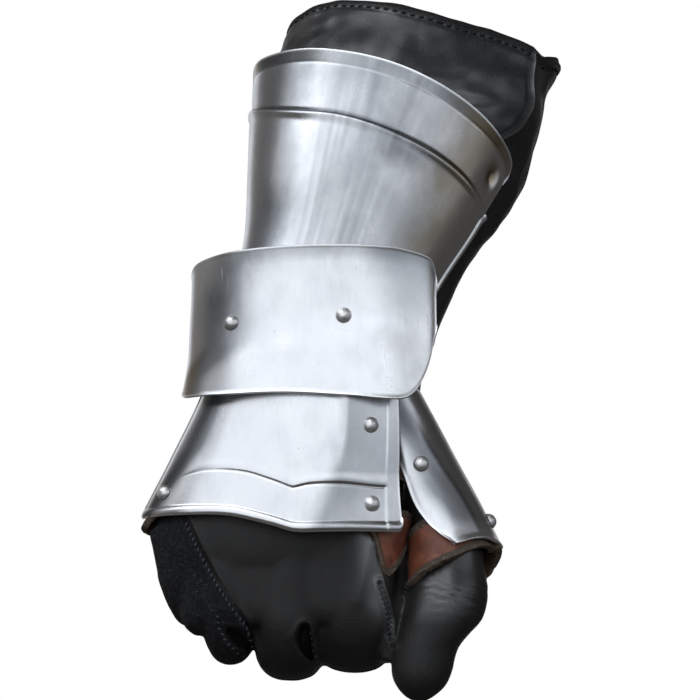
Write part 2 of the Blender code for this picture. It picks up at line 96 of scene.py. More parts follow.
# Height, centre x, centre y, half width, half depth
GLOVE_HAND_ROWS = [
    (-103.0, -21.8, -2.5, 44.4, 15.5),
    (-94.0, -23.0, -2.5, 47.2, 18.0),
    (-80.0, -21.0, -2.0, 48.7, 19.5),
    (-62.0, -12.4, -1.5, 44.0, 20.0),
    (-40.0, -6.5, -1.0, 42.0, 20.8),
    (-18.0, -2.0, -0.5, 40.0, 20.5),
]
# Along the forearm: height, centre x, centre y, half width, half depth, slant and turn of the section
GLOVE_CUFF_ROWS = [
    (14.0, 0.0, 2.0, 42.3, 20.8, 0.0, 0.0),
    (31.0, 0.3, 3.0, 43.0, 22.0, 0.0, 1.0),
    (46.0, 0.2, 3.0, 44.6, 25.0, 0.0, 3.0),
    (60.0, 0.2, 2.5, 47.2, 28.0, -1.0, 5.0),
    (76.0, 1.0, 1.6, 52.8, 31.6, -2.5, 7.0),
    (92.0, 1.4, 0.5, 57.6, 33.8, -4.5, 8.5),
    (108.0, 0.0, 0.0, 58.7, 35.0, -7.0, 9.5),
    (138.2, -0.9, 0.0, 60.4, 36.6, -12.0, 10.0),
]
CUFF_SPLIT = 4.0
CUFF_LAP = 3.0  # the cuff's leather laps over the hand's by this much
HAND_TUCK = 1.9  # the hand's leather is drawn in by this much there

# Name, centre x at the root and at the bend, centre y, lowest point, half width, half depth, bone, bend
# radius, share of the width lost over the bend, and fullness: 1 for an ellipse, less for a squarer section
FINGERS = [
    ("index", 9.8, 9.8, -6.0, -139.5, 16.6, 12.2, 4.0, 13.0, 0.06, 0.86),
    ("middle", -16.4, -15.8, -7.5, -142.7, 13.9, 12.4, 5.0, 13.0, 0.0, 0.88),
    ("ring", -41.0, -40.2, -6.5, -136.4, 12.7, 12.0, 4.0, 12.5, 0.24, 0.94),
    ("little", -61.8, -58.2, -2.0, -120.4, 11.2, 9.8, 6.0, 10.5, 0.42, 1.0),
]
FINGER_ROOT = -83.0
# Leather stretched between neighbouring fingers: centre x, centre y, half width, half depth, lowest point
WEBS = [
    (-3.6, -8.0, 10.5, 10.4, -124.0),
    (-29.2, -8.0, 10.0, 10.2, -122.0),
    (-52.6, -4.6, 7.0, 10.0, -125.6),
]
# The back's leather, stretched flat over the knuckles
KNUCKLE_ROWS = [
    (-121.0, -14.0, -9.0, 34.0, 7.5),
    (-116.0, -15.0, -8.0, 37.0, 10.4),
    (-108.0, -16.0, -6.5, 39.0, 12.3),
    (-96.0, -16.5, -5.0, 40.0, 14.0),
    (-83.0, -17.0, -3.5, 41.0, 15.6),
    (-72.0, -17.0, -2.5, 41.0, 16.6),
]
KNUCKLE_FULLNESS = 0.7
# The side of the index finger and the web of the thumb, behind the front of the fingers
THUMB_WEB_ROWS = [
    (-136.0, 23.5, -4.0, 4.0, 8.0),
    (-125.0, 24.3, -3.0, 5.5, 9.0),
    (-112.0, 25.0, 0.5, 7.0, 10.0),
    (-98.0, 26.0, 5.5, 9.0, 9.0),
    (-83.0, 27.0, 6.5, 10.0, 9.0),
]
THUMB_ROWS = [
    (-151.8, 36.0, -11.5, 2.5, 2.5),
    (-150.2, 36.0, -11.5, 5.2, 5.0),
    (-146.0, 36.5, -11.5, 9.4, 8.8),
    (-141.0, 36.8, -11.0, 11.7, 11.0),
    (-131.0, 38.6, -9.8, 12.5, 12.1),
    (-125.0, 42.0, -8.5, 13.8, 13.0),
    (-119.0, 45.3, -7.0, 15.8, 14.0),
    (-110.0, 47.4, -5.6, 15.8, 14.2),
    (-98.0, 48.0, -3.0, 14.4, 13.5),
    (-84.0, 47.0, 0.0, 14.0, 14.0),
    (-66.0, 40.5, 3.5, 15.0, 13.5),
    (-48.0, 32.0, 4.5, 15.5, 13.5),
    (-30.0, 23.0, 4.5, 15.0, 14.0),
]

# ---------------------------------------------------------------- the plates and straps

# Sections are (height, centre x, centre y, half width, half depth). Edges are (angle, lower, upper), from
# the left end to the right. Corners are radii: lower left, upper left, lower right, upper right.
CUFF_PLATE_SECTIONS = [
    (5.0, -3.4, -1.5, 42.5, 26.5),
    (25.0, -3.6, 0.0, 43.0, 31.5),
    (54.0, -4.0, 0.0, 50.2, 37.5),
    (87.0, -4.8, 0.0, 58.4, 43.5),
    (96.0, -5.0, 0.0, 60.9, 45.4),
    (104.0, -5.0, 0.0, 63.2, 47.6),
]
CUFF_PLATE_EDGES = [
    (-97.0, 10.0, 99.5),
    (-90.0, 9.0, 104.0),
    (-60.0, 8.0, 103.0),
    (-30.0, 8.0, 103.2),
    (0.0, 9.0, 102.6),
    (30.0, 10.5, 99.2),
    (55.0, 10.0, 94.6),
    (67.0, 9.0, 91.5),
    (72.0, 9.0, 88.0),
]
CUFF_PLATE_CORNERS = (2.0, 6.5, 2.0, 3.0)
CUFF_RIDGE = [  # angle, height where the raised field ends in a ridge below the flared rim
    (-97.0, 86.5),
    (-90.0, 86.0),
    (-60.0, 79.0),
    (-40.0, 76.8),
    (-20.0, 76.8),
    (8.0, 75.5),
    (35.0, 72.8),
    (52.0, 70.2),
    (72.0, 66.0),
]
# With a sixth number, the fullness of the right side: over 2 makes it flatter in front than an ellipse
WRIST_PLATE_SECTIONS = [
    (-34.0, -6.2, 0.0, 55.6, 30.4, 3.6),
    (-15.0, -5.8, 0.0, 52.7, 28.8, 3.6),
    (0.0, -5.5, 0.0, 52.2, 27.4, 3.6),
    (15.0, -5.2, 0.0, 51.9, 28.0, 3.6),
    (30.0, -4.7, 0.0, 52.4, 30.0, 3.6),
]
WRIST_PLATE_EDGES = [
    (-96.0, -25.2, 19.8),
    (-90.0, -26.4, 21.6),
    (-86.0, -27.6, 23.0),
    (-80.0, -28.7, 24.3),
    (-72.0, -29.4, 25.5),
    (-60.0, -29.8, 26.7),
    (-41.0, -30.3, 28.2),
    (-11.0, -30.4, 29.2),
    (15.0, -31.8, 29.5),
    (37.0, -33.0, 28.6),
    (45.0, -31.0, 27.6),
    (54.0, -24.0, 26.4),
    (62.0, -15.0, 24.8),
    (69.0, -3.0, 21.5),
]
WRIST_PLATE_CORNERS = (1.5, 1.5, 1.0, 6.5)
HAND_PLATE_SECTIONS = [
    (-90.0, -10.5, 1.0, 68.7, 27.8),
    (-78.3, -9.5, 1.0, 67.0, 27.9),
    (-54.0, -5.1, 0.5, 59.6, 27.4),
    (-30.0, -1.5, 0.0, 51.8, 26.3),
    (-16.0, -0.5, 0.0, 48.0, 25.5),
]
HAND_PLATE_EDGES = [
    (-90.0, -76.8, -18.0),
    (-86.0, -78.0, -17.9),
    (-81.0, -78.7, -17.7),
    (-75.0, -78.7, -17.5),
    (-60.0, -78.5, -17.0),
    (-45.0, -78.6, -16.5),
    (-33.0, -78.9, -16.0),
    (-25.0, -79.8, -16.0),
    (-17.0, -81.8, -16.0),
    (-10.0, -83.9, -16.0),
    (-3.0, -86.2, -16.0),
    (6.0, -86.2, -16.0),
    (16.0, -85.9, -16.5),
    (36.3, -85.7, -17.0),
]
HAND_PLATE_CORNERS = (1.5, 2.0, 2.2, 2.0)
CREASE_POINT = -6.0  # angle where the hand plate's crease comes down to a point
# Angle, height
HAND_CREASE_LEFT = [
    (-90.0, -64.6),
    (-61.0, -62.9),
    (-45.0, -60.6),
    (-27.0, -61.8),
    (-15.0, -65.3),
    (CREASE_POINT, -68.8),
]
HAND_CREASE_RIGHT = [(CREASE_POINT, -68.8), (0.0, -67.3), (11.0, -66.9), (24.0, -67.7), (35.0, -67.9)]
# Height, angle
HAND_BEND = [(-90.0, 1.0), (-83.0, 3.0), (-75.0, 5.2), (-65.0, 6.8), (-49.0, 7.7), (-35.0, 6.5), (-16.0, 5.0)]
THUMB_PLATE_SECTIONS = [
    (-92.0, 48.9, -1.0, 22.0, 20.0),
    (-89.5, 48.5, -1.0, 21.5, 19.6),
    (-84.0, 47.6, 0.0, 19.8, 19.4),
    (-70.0, 42.2, 2.0, 18.5, 19.8),
    (-56.0, 35.5, 3.5, 17.8, 20.2),
    (-43.0, 28.7, 3.0, 17.8, 19.8),
    (-26.0, 19.5, 0.0, 17.6, 20.8),
]
THUMB_PLATE_EDGES = [
    (-5.0, -91.5, -26.0),
    (0.0, -90.5, -26.0),
    (10.0, -89.6, -26.0),
    (27.0, -87.9, -26.0),
    (45.0, -87.3, -26.0),
    (60.0, -87.8, -26.0),
    (90.0, -89.6, -26.0),
    (110.0, -91.0, -26.0),
]
THUMB_PLATE_LEFT_ENDS = [
    (-92.0, 5.0),
    (-89.0, -2.0),
    (-84.0, -13.0),
    (-79.0, -22.0),
    (-70.0, -31.0),
    (-60.0, -29.0),
    (-53.0, -26.0),
    (-46.0, -20.0),
    (-26.0, -12.0),
]
THUMB_KEEL = [(-92.0, 38.0), (-73.0, 34.0), (-55.0, 24.0), (-39.0, 18.0), (-26.0, 14.0)]  # height, angle

WRIST_LEATHER_SECTIONS = [
    (-34.0, -4.0, 0.0, 38.4, 24.0),
    (-16.0, -3.5, 0.0, 40.8, 23.9),
    (0.0, -3.0, 0.0, 45.0, 24.0),
    (24.0, 0.0, 2.0, 46.0, 23.4),
]
WRIST_LEATHER_EDGES = [
    (-58.0, -8.0, 13.0),
    (-45.0, -13.0, 14.0),
    (-30.0, -28.0, 16.0),
    (-10.0, -31.0, 18.0),
    (28.0, -31.0, 18.0),
]
PALM_STRAP_SECTIONS = [
    (-104.0, -22.9, -2.5, 47.4, 22.8),
    (-94.0, -22.9, -2.5, 50.4, 23.4),
    (-80.0, -21.0, -2.0, 53.0, 23.8),
    (-70.0, -17.0, -1.8, 49.9, 23.8),
    (-62.0, -14.0, -1.5, 48.1, 23.8),
    (-50.0, -10.2, -1.0, 46.4, 23.8),
]
# Angle, lower edge, upper edge, how far the strap stands out of its section
PALM_STRAP_EDGES = [
    (38.0, -79.0, -68.0, 1.2),
    (45.0, -84.5, -72.0, 1.8),
    (50.0, -90.0, -74.0, 2.4),
    (55.0, -96.5, -75.5, 3.2),
    (60.0, -102.0, -76.0, 3.8),
    (64.0, -102.4, -76.5, 3.8),
    (70.0, -98.5, -77.0, 3.6),
    (78.0, -93.0, -77.0, 2.6),
    (90.0, -89.0, -77.0, 1.0),
    (130.0, -90.0, -75.0, 0.0),
    (180.0, -90.0, -70.0, 0.0),
    (240.0, -85.5, -64.0, 0.0),
    (270.0, -82.8, -61.0, 0.6),
    (281.0, -80.8, -60.0, 0.8),
    (288.0, -77.5, -59.0, 0.2),
    (302.0, -76.0, -58.0, -0.9),
]
THUMB_STRAP_SECTIONS = [
    (-110.0, 48.9, -4.5, 17.4, 17.9),
    (-98.0, 49.2, -2.7, 17.8, 17.6),
    (-90.0, 49.4, -1.5, 18.1, 17.4),
    (-84.0, 47.6, -0.5, 17.1, 17.0),
    (-79.0, 46.3, 0.2, 16.0, 16.8),
    (-74.0, 44.6, 1.0, 15.8, 16.8),
]
THUMB_STRAP_EDGES = [
    (78.0, -90.8, -82.0, 0.9),
    (92.0, -92.5, -82.0, 0.9),
    (105.0, -95.5, -83.0, 0.8),
    (118.0, -99.0, -84.0, 0.6),
    (140.0, -104.0, -85.5, 0.3),
    (180.0, -107.0, -87.0, 0.0),
    (285.0, -106.4, -84.5, 0.0),
    (325.0, -100.6, -80.0, 0.0),
    (360.0, -95.5, -77.0, 0.0),
    (395.0, -91.0, -76.0, -0.4),
    (425.0, -90.6, -76.0, -1.4),
    (446.0, -92.0, -78.0, -2.2),
]
THUMB_LINK_ROWS = [  # x, y, lower edge, upper edge
    (9.0, -23.0, -52.0, -34.0),
    (18.0, -21.6, -55.0, -37.0),
    (24.0, -18.6, -60.0, -43.0),
    (29.0, -13.2, -64.0, -50.0),
    (33.0, -13.7, -65.0, -51.0),
    (40.0, -13.1, -65.0, -52.0),
]
# Painted shade on each plate along its angle, 0 to 1: how far its colour is darkened in place of dark
# reflections
CUFF_PAINTED_SHADE = [
    (-97.0, 0.0),
    (-80.0, 0.0),
    (-72.0, 0.35),
    (-64.0, 0.62),
    (-52.0, 0.68),
    (-42.0, 0.55),
    (-30.0, 0.34),
    (-19.0, 0.5),
    (-4.0, 0.66),
    (5.0, 0.66),
    (15.0, 0.52),
    (25.0, 0.6),
    (36.0, 0.78),
    (49.0, 0.72),
    (58.0, 0.35),
    (72.0, 0.1),
]
WRIST_PAINTED_SHADE = [
    (-97.0, 0.0),
    (-83.0, 0.0),
    (-66.0, 0.35),
    (-56.0, 0.85),
    (-48.0, 0.84),
    (-38.0, 0.74),
    (-33.0, 0.45),
    (-26.0, 0.08),
    (-20.0, 0.0),
    (69.0, 0.0),
]

# Name, plate, angle, height, grip between head and tail
RIVETS = [
    ("wrist_rivet_outer", "wrist_plate", -40.9, -0.8, 7.2),
    ("wrist_rivet_inner", "wrist_plate", 12.4, 1.0, 4.8),
    ("hand_rivet_top", "hand_plate", 21.3, -43.0, 4.7),
    ("hand_rivet_bottom", "hand_plate", 23.9, -74.6, 6.5),
    ("hand_rivet_corner", "hand_plate", -66.5, -68.6, 5.5),
    ("thumb_rivet_front", "thumb_plate", 1.5, -57.8, 5.5),
    ("thumb_rivet_side", "thumb_plate", 82.0, -79.3, 4.1),
]

# ---------------------------------------------------------------- seams and folds of the glove

# As (x, z) on its back
SUEDE_SEAM = [
    (-66.0, -60.0),
    (-57.4, -79.6),
    (-50.9, -93.7),
    (-43.7, -106.3),
    (-38.3, -114.9),
    (-32.2, -122.7),
    (-30.3, -128.9),
    (-28.7, -134.3),
    (-27.5, -140.0),
]
RING_FORK = [(-43.5, -117.0), (-43.0, -123.0), (-40.5, -128.0), (-36.0, -132.3), (-30.5, -134.0)]
RING_HOLE = [(-40.6, -123.2), (-37.5, -126.0), (-34.0, -129.0), (-31.6, -131.2)]
MIDDLE_SLIT = [(-9.9, -123.6), (-10.3, -127.5), (-9.2, -131.5), (-7.6, -134.6)]
MIDDLE_SEAM = [(-9.2, -121.0), (-6.9, -123.4), (-5.9, -128.0), (-5.5, -132.1), (-3.7, -136.7), (-1.4, -139.4)]
INDEX_SEAM = [(19.8, -105.6), (21.5, -110.7), (23.1, -115.4), (24.2, -121.1), (24.3, -126.7), (26.0, -131.3)]
INDEX_FOLD = [(17.1, -90.5), (15.6, -97.0), (13.2, -104.5), (10.7, -112.5)]


def read(rows, level):
    """The columns of a table at any level of its first column, on a smooth curve through its rows.

    Past the first and the last row it goes on straight.
    """
    levels = [row[0] for row in rows]
    i = max(0, min(len(rows) - 2, bisect_right(levels, level) - 1))
    step = levels[i + 1] - levels[i]
    t = (level - levels[i]) / step
    if t < 0.0 or t > 1.0:
        return [b + (c - b) * t for b, c in zip(rows[i][1:], rows[i + 1][1:])]
    before = rows[max(i - 1, 0)]
    after = rows[min(i + 2, len(rows) - 1)]
    values = []
    for a, b, c, d in zip(before[1:], rows[i][1:], rows[i + 1][1:], after[1:]):
        slope_b = (c - a) / (levels[i + 1] - before[0]) * step
        slope_c = (d - b) / (after[0] - levels[i]) * step
        values.append(
            b * (1 + 2 * t) * (1 - t) ** 2
            + slope_b * t * (1 - t) ** 2
            + c * t * t * (3 - 2 * t)
            - slope_c * t * t * (1 - t)
        )
    return values


def spread(start, end, count):
    """Values from start to end, in as many even steps as count says."""
    return [start + (end - start) * i / count for i in range(count + 1)]


def ease(low, high, value):
    """0 below low, 1 above high, and a smooth step between them. low may be the greater one."""
    t = min(max((value - low) / (high - low), 0.0), 1.0)
    return t * t * (3 - 2 * t)


def bell(value, centre, width):
    """1 at the centre, falling off smoothly on both sides."""
    return math.exp(-(((value - centre) / width) ** 2))


def wrapped(angle):
    """The same angle between -180 and 180."""
    return (angle + 180.0) % 360.0 - 180.0


def noise_at(x, y, z):
    """Smooth noise about zero, the same at each run."""
    return noise.noise(Vector((x, y, z)))


# ---------------------------------------------------------------- objects


def add_object(name, bm, materials, smooth_angle=60.0):
    mesh = bpy.data.meshes.new(name)
    bm.to_mesh(mesh)
    bm.free()
    mesh.shade_smooth()
    mesh.set_sharp_from_angle(angle=math.radians(smooth_angle))
    for material in materials:
        mesh.materials.append(material)
    obj = bpy.data.objects.new(name, mesh)
    bpy.context.scene.collection.objects.link(obj)
    return obj


def finished(obj, slot, *nodes):
    """Rides on the object's one body and stands for CAD nodes, which it hides. The slot is not used."""
    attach(obj, "root")
    if nodes:
        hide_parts(*nodes)
    return obj


# ---------------------------------------------------------------- surfaces


def on_section(sections, angle, height, outward=0.0):
    """A point on a form given by its sections."""
    x, y, half_width, half_depth, *fullness = read(sections, height)
    across, ahead = math.sin(math.radians(angle)), math.cos(math.radians(angle))
    if fullness and across > 0.0:
        ahead = math.copysign((1.0 - across ** fullness[0]) ** (1.0 / fullness[0]), ahead)
    return Vector((x + (half_width + outward) * across, y - (half_depth + outward) * ahead, height))


class Band:
    """A face bent along its sections, from its first edge row's angle to its last.

    ridge is a function of the angle: the height of a line that one row of the grid follows, and the share of
    the rows below it. left_ends gives the angle of a left end that slants, by height.
    """

    def __init__(
        self, sections, edges, frame=HAND_FRAME, left_ends=None, rough_edge=0.0, ridge=None, corners=None
    ):
        self.sections = sections
        self.edges = edges
        self.frame = frame
        self.left_ends = left_ends
        self.rough_edge = rough_edge
        self.ridge = ridge
        self.corners = None  # rounded corners don't count in the length
        self.length = self.length_across()
        self.corners = corners

    def limits(self, angle):
        low, high, *outward = read(self.edges, angle)
        if self.rough_edge:
            ragged = noise_at(angle * 0.16, 1.0, 0.0) + 0.5 * noise_at(angle * 0.9, 3.0, 0.0)
            low += self.rough_edge * ragged
            high += self.rough_edge * noise_at(angle * 0.16, 9.0, 0.0)
        return low, high, outward[0] if outward else 0.0

    def rounded(self, across, low, high):
        """The limits, drawn in where the band's corners are rounded."""
        for side, near in enumerate((across * self.length, (1.0 - across) * self.length)):
            lower, upper = (
                radius - math.sqrt(radius**2 - max(radius - near, 0.0) ** 2)
                for radius in self.corners[2 * side : 2 * side + 2]
            )
            low += lower
            high -= upper
        return low, high

    def at(self, across, up):
        """Angle, height, outward offset, and distance from the lower and upper edges."""
        angle = self.edges[0][0] + (self.edges[-1][0] - self.edges[0][0]) * across
        low, high, outward = self.limits(angle)
        if self.corners:
            low, high = self.rounded(across, low, high)
        height = low + (high - low) * up
        if self.ridge:
            middle, share = self.ridge(angle)
            if up < share:
                height = low + (middle - low) * up / share
            else:
                height = middle + (high - middle) * (up - share) / (1.0 - share)
        if self.left_ends:
            left = read(self.left_ends, height)[0]
            angle = left + (self.edges[-1][0] - left) * across
            low, high, outward = self.limits(angle)
            height = low + (high - low) * up
        return angle, height, outward, height - low, high - height

    def point(self, angle, height, outward):
        return self.frame @ on_section(self.sections, angle, height, outward)

    def length_across(self):
        """Millimetres across the band at its mid height."""
        points = []
        for across in spread(0.0, 1.0, 24):
            angle, height, outward, _, _ = self.at(across, 0.5)
            points.append(self.point(angle, height, outward))
        return sum((b - a).length for a, b in zip(points, points[1:]))


def band_sheet(
    name, band, cell, thickness, materials, relief=None, edge_round=0.35, row_cell=None, painted_shade=None
):
    """A wall on a band. relief(angle, height, sides) gives how far its face stands out, in millimetres.

    sides holds the distances from the lower, upper, left and right edges. Attributes go with the mesh:
    border, the distance from the nearest edge, and a painted shade and the warmth of its tint, from a
    function like relief. The painted shade darkens the steel's colour where it stands in for dark
    reflections.
    """
    length = band.length
    tall = max(band.limits(angle)[1] - band.limits(angle)[0] for angle in (row[0] for row in band.edges))
    columns = round(length / cell)
    rows = round(tall / (row_cell or cell))
    bm = bmesh.new()
    bmesh.ops.create_grid(bm, x_segments=columns, y_segments=rows, size=0.5)
    border = bm.verts.layers.float.new("border")
    painted_dulling = bm.verts.layers.float.new("painted_shade")
    painted_warmth_layer = bm.verts.layers.float.new("painted_shade_warmth")
    for vert in bm.verts:
        across, up = vert.co.x + 0.5, vert.co.y + 0.5
        across -= 0.08 * math.sin(math.tau * across)  # closer columns towards both ends
        angle, height, outward, below, above = band.at(across, up)
        sides = (below, above, across * length, (1.0 - across) * length)
        rise = relief(angle, height, sides) if relief else 0.0
        vert.co = band.point(angle, height, outward + rise) * MM
        vert[border] = min(sides)
        # painted shade, which darkens the steel where it stands in for dark reflections, and the warmth of
        # its tint
        vert[painted_dulling], vert[painted_warmth_layer] = painted_shade(angle, height, sides) if painted_shade else (0.0, 0.0)
    obj = add_object(name, bm, materials)
    add_wall(obj, thickness, edge_round, len(materials))
    return obj


def add_wall(obj, thickness, edge_round, material_count=1):
    """Thickens a face inwards and rounds its edges. Three materials are for face, inner side and rim."""
    wall = obj.modifiers.new("wall", "SOLIDIFY")
    wall.thickness = thickness * MM
    wall.offset = -1.0
    wall.use_even_offset = True
    if material_count > 2:
        wall.material_offset = 1
        wall.material_offset_rim = 2
    if edge_round:
        rounding = obj.modifiers.new("rounded edges", "BEVEL")
        rounding.width = edge_round * MM
        rounding.segments = 2
        rounding.limit_method = "ANGLE"
        rounding.angle_limit = math.radians(50.0)


# ---------------------------------------------------------------- shader groups


def shader_group(name, inputs, outputs):
    """An empty node group with its sockets: name to default value, or to None for a vector."""
    tree = bpy.data.node_groups.new(name, "ShaderNodeTree")
    for socket_name, value in inputs.items():
        kind = "NodeSocketVector" if value is None else "NodeSocketFloat"
        socket = tree.interface.new_socket(socket_name, in_out="INPUT", socket_type=kind)
        if value is not None:
            socket.default_value = value
    for socket_name in outputs:
        tree.interface.new_socket(socket_name, in_out="OUTPUT", socket_type="NodeSocketFloat")
    return tree, tree.nodes.new("NodeGroupInput"), tree.nodes.new("NodeGroupOutput")


def join(tree, value, socket):
    """Gives a socket a constant, or links it to another socket."""
    if isinstance(value, (int, float, tuple)):
        socket.default_value = value
    else:
        tree.links.new(value, socket)


def math_node(tree, operation, *values, clamp=False):
    node = tree.nodes.new("ShaderNodeMath")
    node.operation = operation
    node.use_clamp = clamp
    for value, socket in zip(values, node.inputs):
        join(tree, value, socket)
    return node.outputs[0]


def range_node(tree, value, low, high):
    """A smooth step from 0 at low to 1 at high."""
    node = tree.nodes.new("ShaderNodeMapRange")
    node.interpolation_type = "SMOOTHSTEP"
    for socket, given in (("Value", value), ("From Min", low), ("From Max", high)):
        join(tree, given, node.inputs[socket])
    return node.outputs["Result"]


def stretched(tree, vector, scale, turn=(0.0, 0.0, 0.0)):
    node = tree.nodes.new("ShaderNodeMapping")
    node.inputs["Scale"].default_value = scale
    node.inputs["Rotation"].default_value = [math.radians(angle) for angle in turn]
    tree.links.new(vector, node.inputs["Vector"])
    return node.outputs["Vector"]


def noise_node(tree, vector, scale, detail=2.0, roughness=0.5, distortion=0.0):
    node = tree.nodes.new("ShaderNodeTexNoise")
    node.inputs["Detail"].default_value = detail
    node.inputs["Roughness"].default_value = roughness
    node.inputs["Distortion"].default_value = distortion
    tree.links.new(vector, node.inputs["Vector"])
    join(tree, scale, node.inputs["Scale"])
    return node.outputs["Fac"]


def voronoi_node(tree, vector, scale, feature="F1"):
    node = tree.nodes.new("ShaderNodeTexVoronoi")
    node.feature = feature
    tree.links.new(vector, node.inputs["Vector"])
    join(tree, scale, node.inputs["Scale"])
    return node.outputs["Distance"]


def make_brushing_group():
    """Fine lines left by polishing along the plate, as a height, and a soft haze. Vector is in metres."""
    tree, given, result = shader_group("brushing", {"Vector": None}, ("Height", "Haze"))
    vector = given.outputs["Vector"]
    lines = noise_node(tree, stretched(tree, vector, (2600.0, 2600.0, 260.0)), 1.0, 3.0, 0.65)
    grit = noise_node(tree, vector, 2300.0, 2.0, 0.6)
    patches = noise_node(tree, stretched(tree, vector, (110.0, 110.0, 65.0)), 1.0, 6.0, 0.62, 0.2)
    tree.links.new(math_node(tree, "MULTIPLY_ADD", grit, 1.1, lines), result.inputs["Height"])
    tree.links.new(range_node(tree, patches, 0.32, 0.68), result.inputs["Haze"])
    return tree


def make_marks_group():
    """Pits, hairline scratches and cloudy handling marks on bare steel. Vector is in metres."""
    tree, given, result = shader_group("marks", {"Vector": None}, ("Pits", "Scratches", "Clouds"))
    vector = given.outputs["Vector"]
    dots = range_node(tree, voronoi_node(tree, vector, 240.0), 0.1, 0.04)
    chosen = range_node(tree, noise_node(tree, vector, 290.0, 1.0), 0.66, 0.7)
    pits = math_node(tree, "MULTIPLY", dots, chosen)
    scratches = []
    for scale, turn, low, high in (
        ((1700.0, 1700.0, 60.0), (0.0, 28.0, 0.0), 0.76, 0.82),
        ((1500.0, 1500.0, 70.0), (10.0, -18.0, 0.0), 0.77, 0.83),
    ):
        lines = noise_node(tree, stretched(tree, vector, scale, turn), 1.0, 0.0)
        scratches.append(range_node(tree, lines, low, high))
    clouds = noise_node(tree, vector, 38.0, 5.0, 0.6, 0.6)
    tree.links.new(pits, result.inputs["Pits"])
    tree.links.new(math_node(tree, "MAXIMUM", *scratches), result.inputs["Scratches"])
    tree.links.new(range_node(tree, clouds, 0.3, 0.7), result.inputs["Clouds"])
    return tree


def make_grain_group():
    """Leather grain: a height of small creased cells, and a slow mottling. Scale is cells a metre."""
    inputs = {"Vector": None, "Scale": 900.0}
    tree, given, result = shader_group("leather grain", inputs, ("Height", "Mottling"))
    vector, scale = given.outputs["Vector"], given.outputs["Scale"]
    cells = range_node(tree, voronoi_node(tree, vector, scale, "DISTANCE_TO_EDGE"), 0.0, 0.22)
    small = noise_node(tree, vector, math_node(tree, "MULTIPLY", scale, 2.2), 3.0, 0.6)
    tree.links.new(math_node(tree, "MULTIPLY_ADD", small, 0.5, cells), result.inputs["Height"])
    mottle = noise_node(tree, vector, math_node(tree, "MULTIPLY", scale, 0.05), 5.0, 0.6, 0.4)
    tree.links.new(range_node(tree, mottle, 0.3, 0.7), result.inputs["Mottling"])
    return tree


def make_nap_group():
    """Brushed fibres of suede and of cut edges: a height and light flecks. Scale is fibres a metre."""
    tree, given, result = shader_group("nap", {"Vector": None, "Scale": 2600.0}, ("Height", "Flecks"))
    vector, scale = given.outputs["Vector"], given.outputs["Scale"]
    fibres = noise_node(tree, vector, scale, 4.0, 0.7, 0.5)
    tufts = noise_node(tree, vector, math_node(tree, "MULTIPLY", scale, 0.22), 3.0, 0.6)
    tree.links.new(math_node(tree, "MULTIPLY_ADD", tufts, 0.8, fibres), result.inputs["Height"])
    light, thick = range_node(tree, fibres, 0.5, 0.66), range_node(tree, tufts, 0.35, 0.65)
    tree.links.new(math_node(tree, "MULTIPLY", light, thick), result.inputs["Flecks"])
    return tree


GROUPS = {
    "brushing": make_brushing_group(),
    "marks": make_marks_group(),
    "grain": make_grain_group(),
    "nap": make_nap_group(),
}


class Finish:
    """A material under construction: its Principled shader and short ways to add nodes.

    constants are the shader's sockets, in lower case with underscores.
    """

    def __init__(self, name, **constants):
        self.material = bpy.data.materials.new(name)
        self.material.use_nodes = True
        self.tree = self.material.node_tree
        self.shader = self.tree.nodes["Principled BSDF"]
        for socket, value in constants.items():
            title = socket.replace("_", " ").title().replace("Ior", "IOR")
            self.shader.inputs[title].default_value = value
        self.coords = self.tree.nodes.new("ShaderNodeTexCoord").outputs["Object"]

    def group(self, key, vector, **values):
        node = self.tree.nodes.new("ShaderNodeGroup")
        node.node_tree = GROUPS[key]
        self.tree.links.new(vector, node.inputs["Vector"])
        for socket, value in values.items():
            node.inputs[socket].default_value = value
        return node.outputs

    def attribute(self, name):
        node = self.tree.nodes.new("ShaderNodeAttribute")
        node.attribute_name = name
        return node.outputs["Fac"]

    def blend(self, mask, first, second):
        """A colour mix. first and second are colours or sockets."""
        node = self.tree.nodes.new("ShaderNodeMix")
        node.data_type = "RGBA"
        join(self.tree, mask, node.inputs[0])
        for value, socket in ((first, node.inputs[6]), (second, node.inputs[7])):
            join(self.tree, (*value, 1.0) if isinstance(value, tuple) else value, socket)
        return node.outputs[2]

    def lerp(self, mask, low, high):
        """low where the mask is 0 and high where it is 1."""
        node = self.tree.nodes.new("ShaderNodeMix")
        for value, socket in ((mask, node.inputs[0]), (low, node.inputs[2]), (high, node.inputs[3])):
            join(self.tree, value, socket)
        return node.outputs[0]

    def bump(self, height, strength, distance_mm, under=None):
        node = self.tree.nodes.new("ShaderNodeBump")
        join(self.tree, strength, node.inputs["Strength"])
        node.inputs["Distance"].default_value = distance_mm * MM
        self.tree.links.new(height, node.inputs["Height"])
        if under:
            self.tree.links.new(under, node.inputs["Normal"])
        return node.outputs["Normal"]

    def finish(self, colour, roughness, normal=None):
        join(self.tree, colour, self.shader.inputs["Base Color"])
        join(self.tree, roughness, self.shader.inputs["Roughness"])
        if normal:
            self.tree.links.new(normal, self.shader.inputs["Normal"])
        return self.material


# ---------------------------------------------------------------- materials


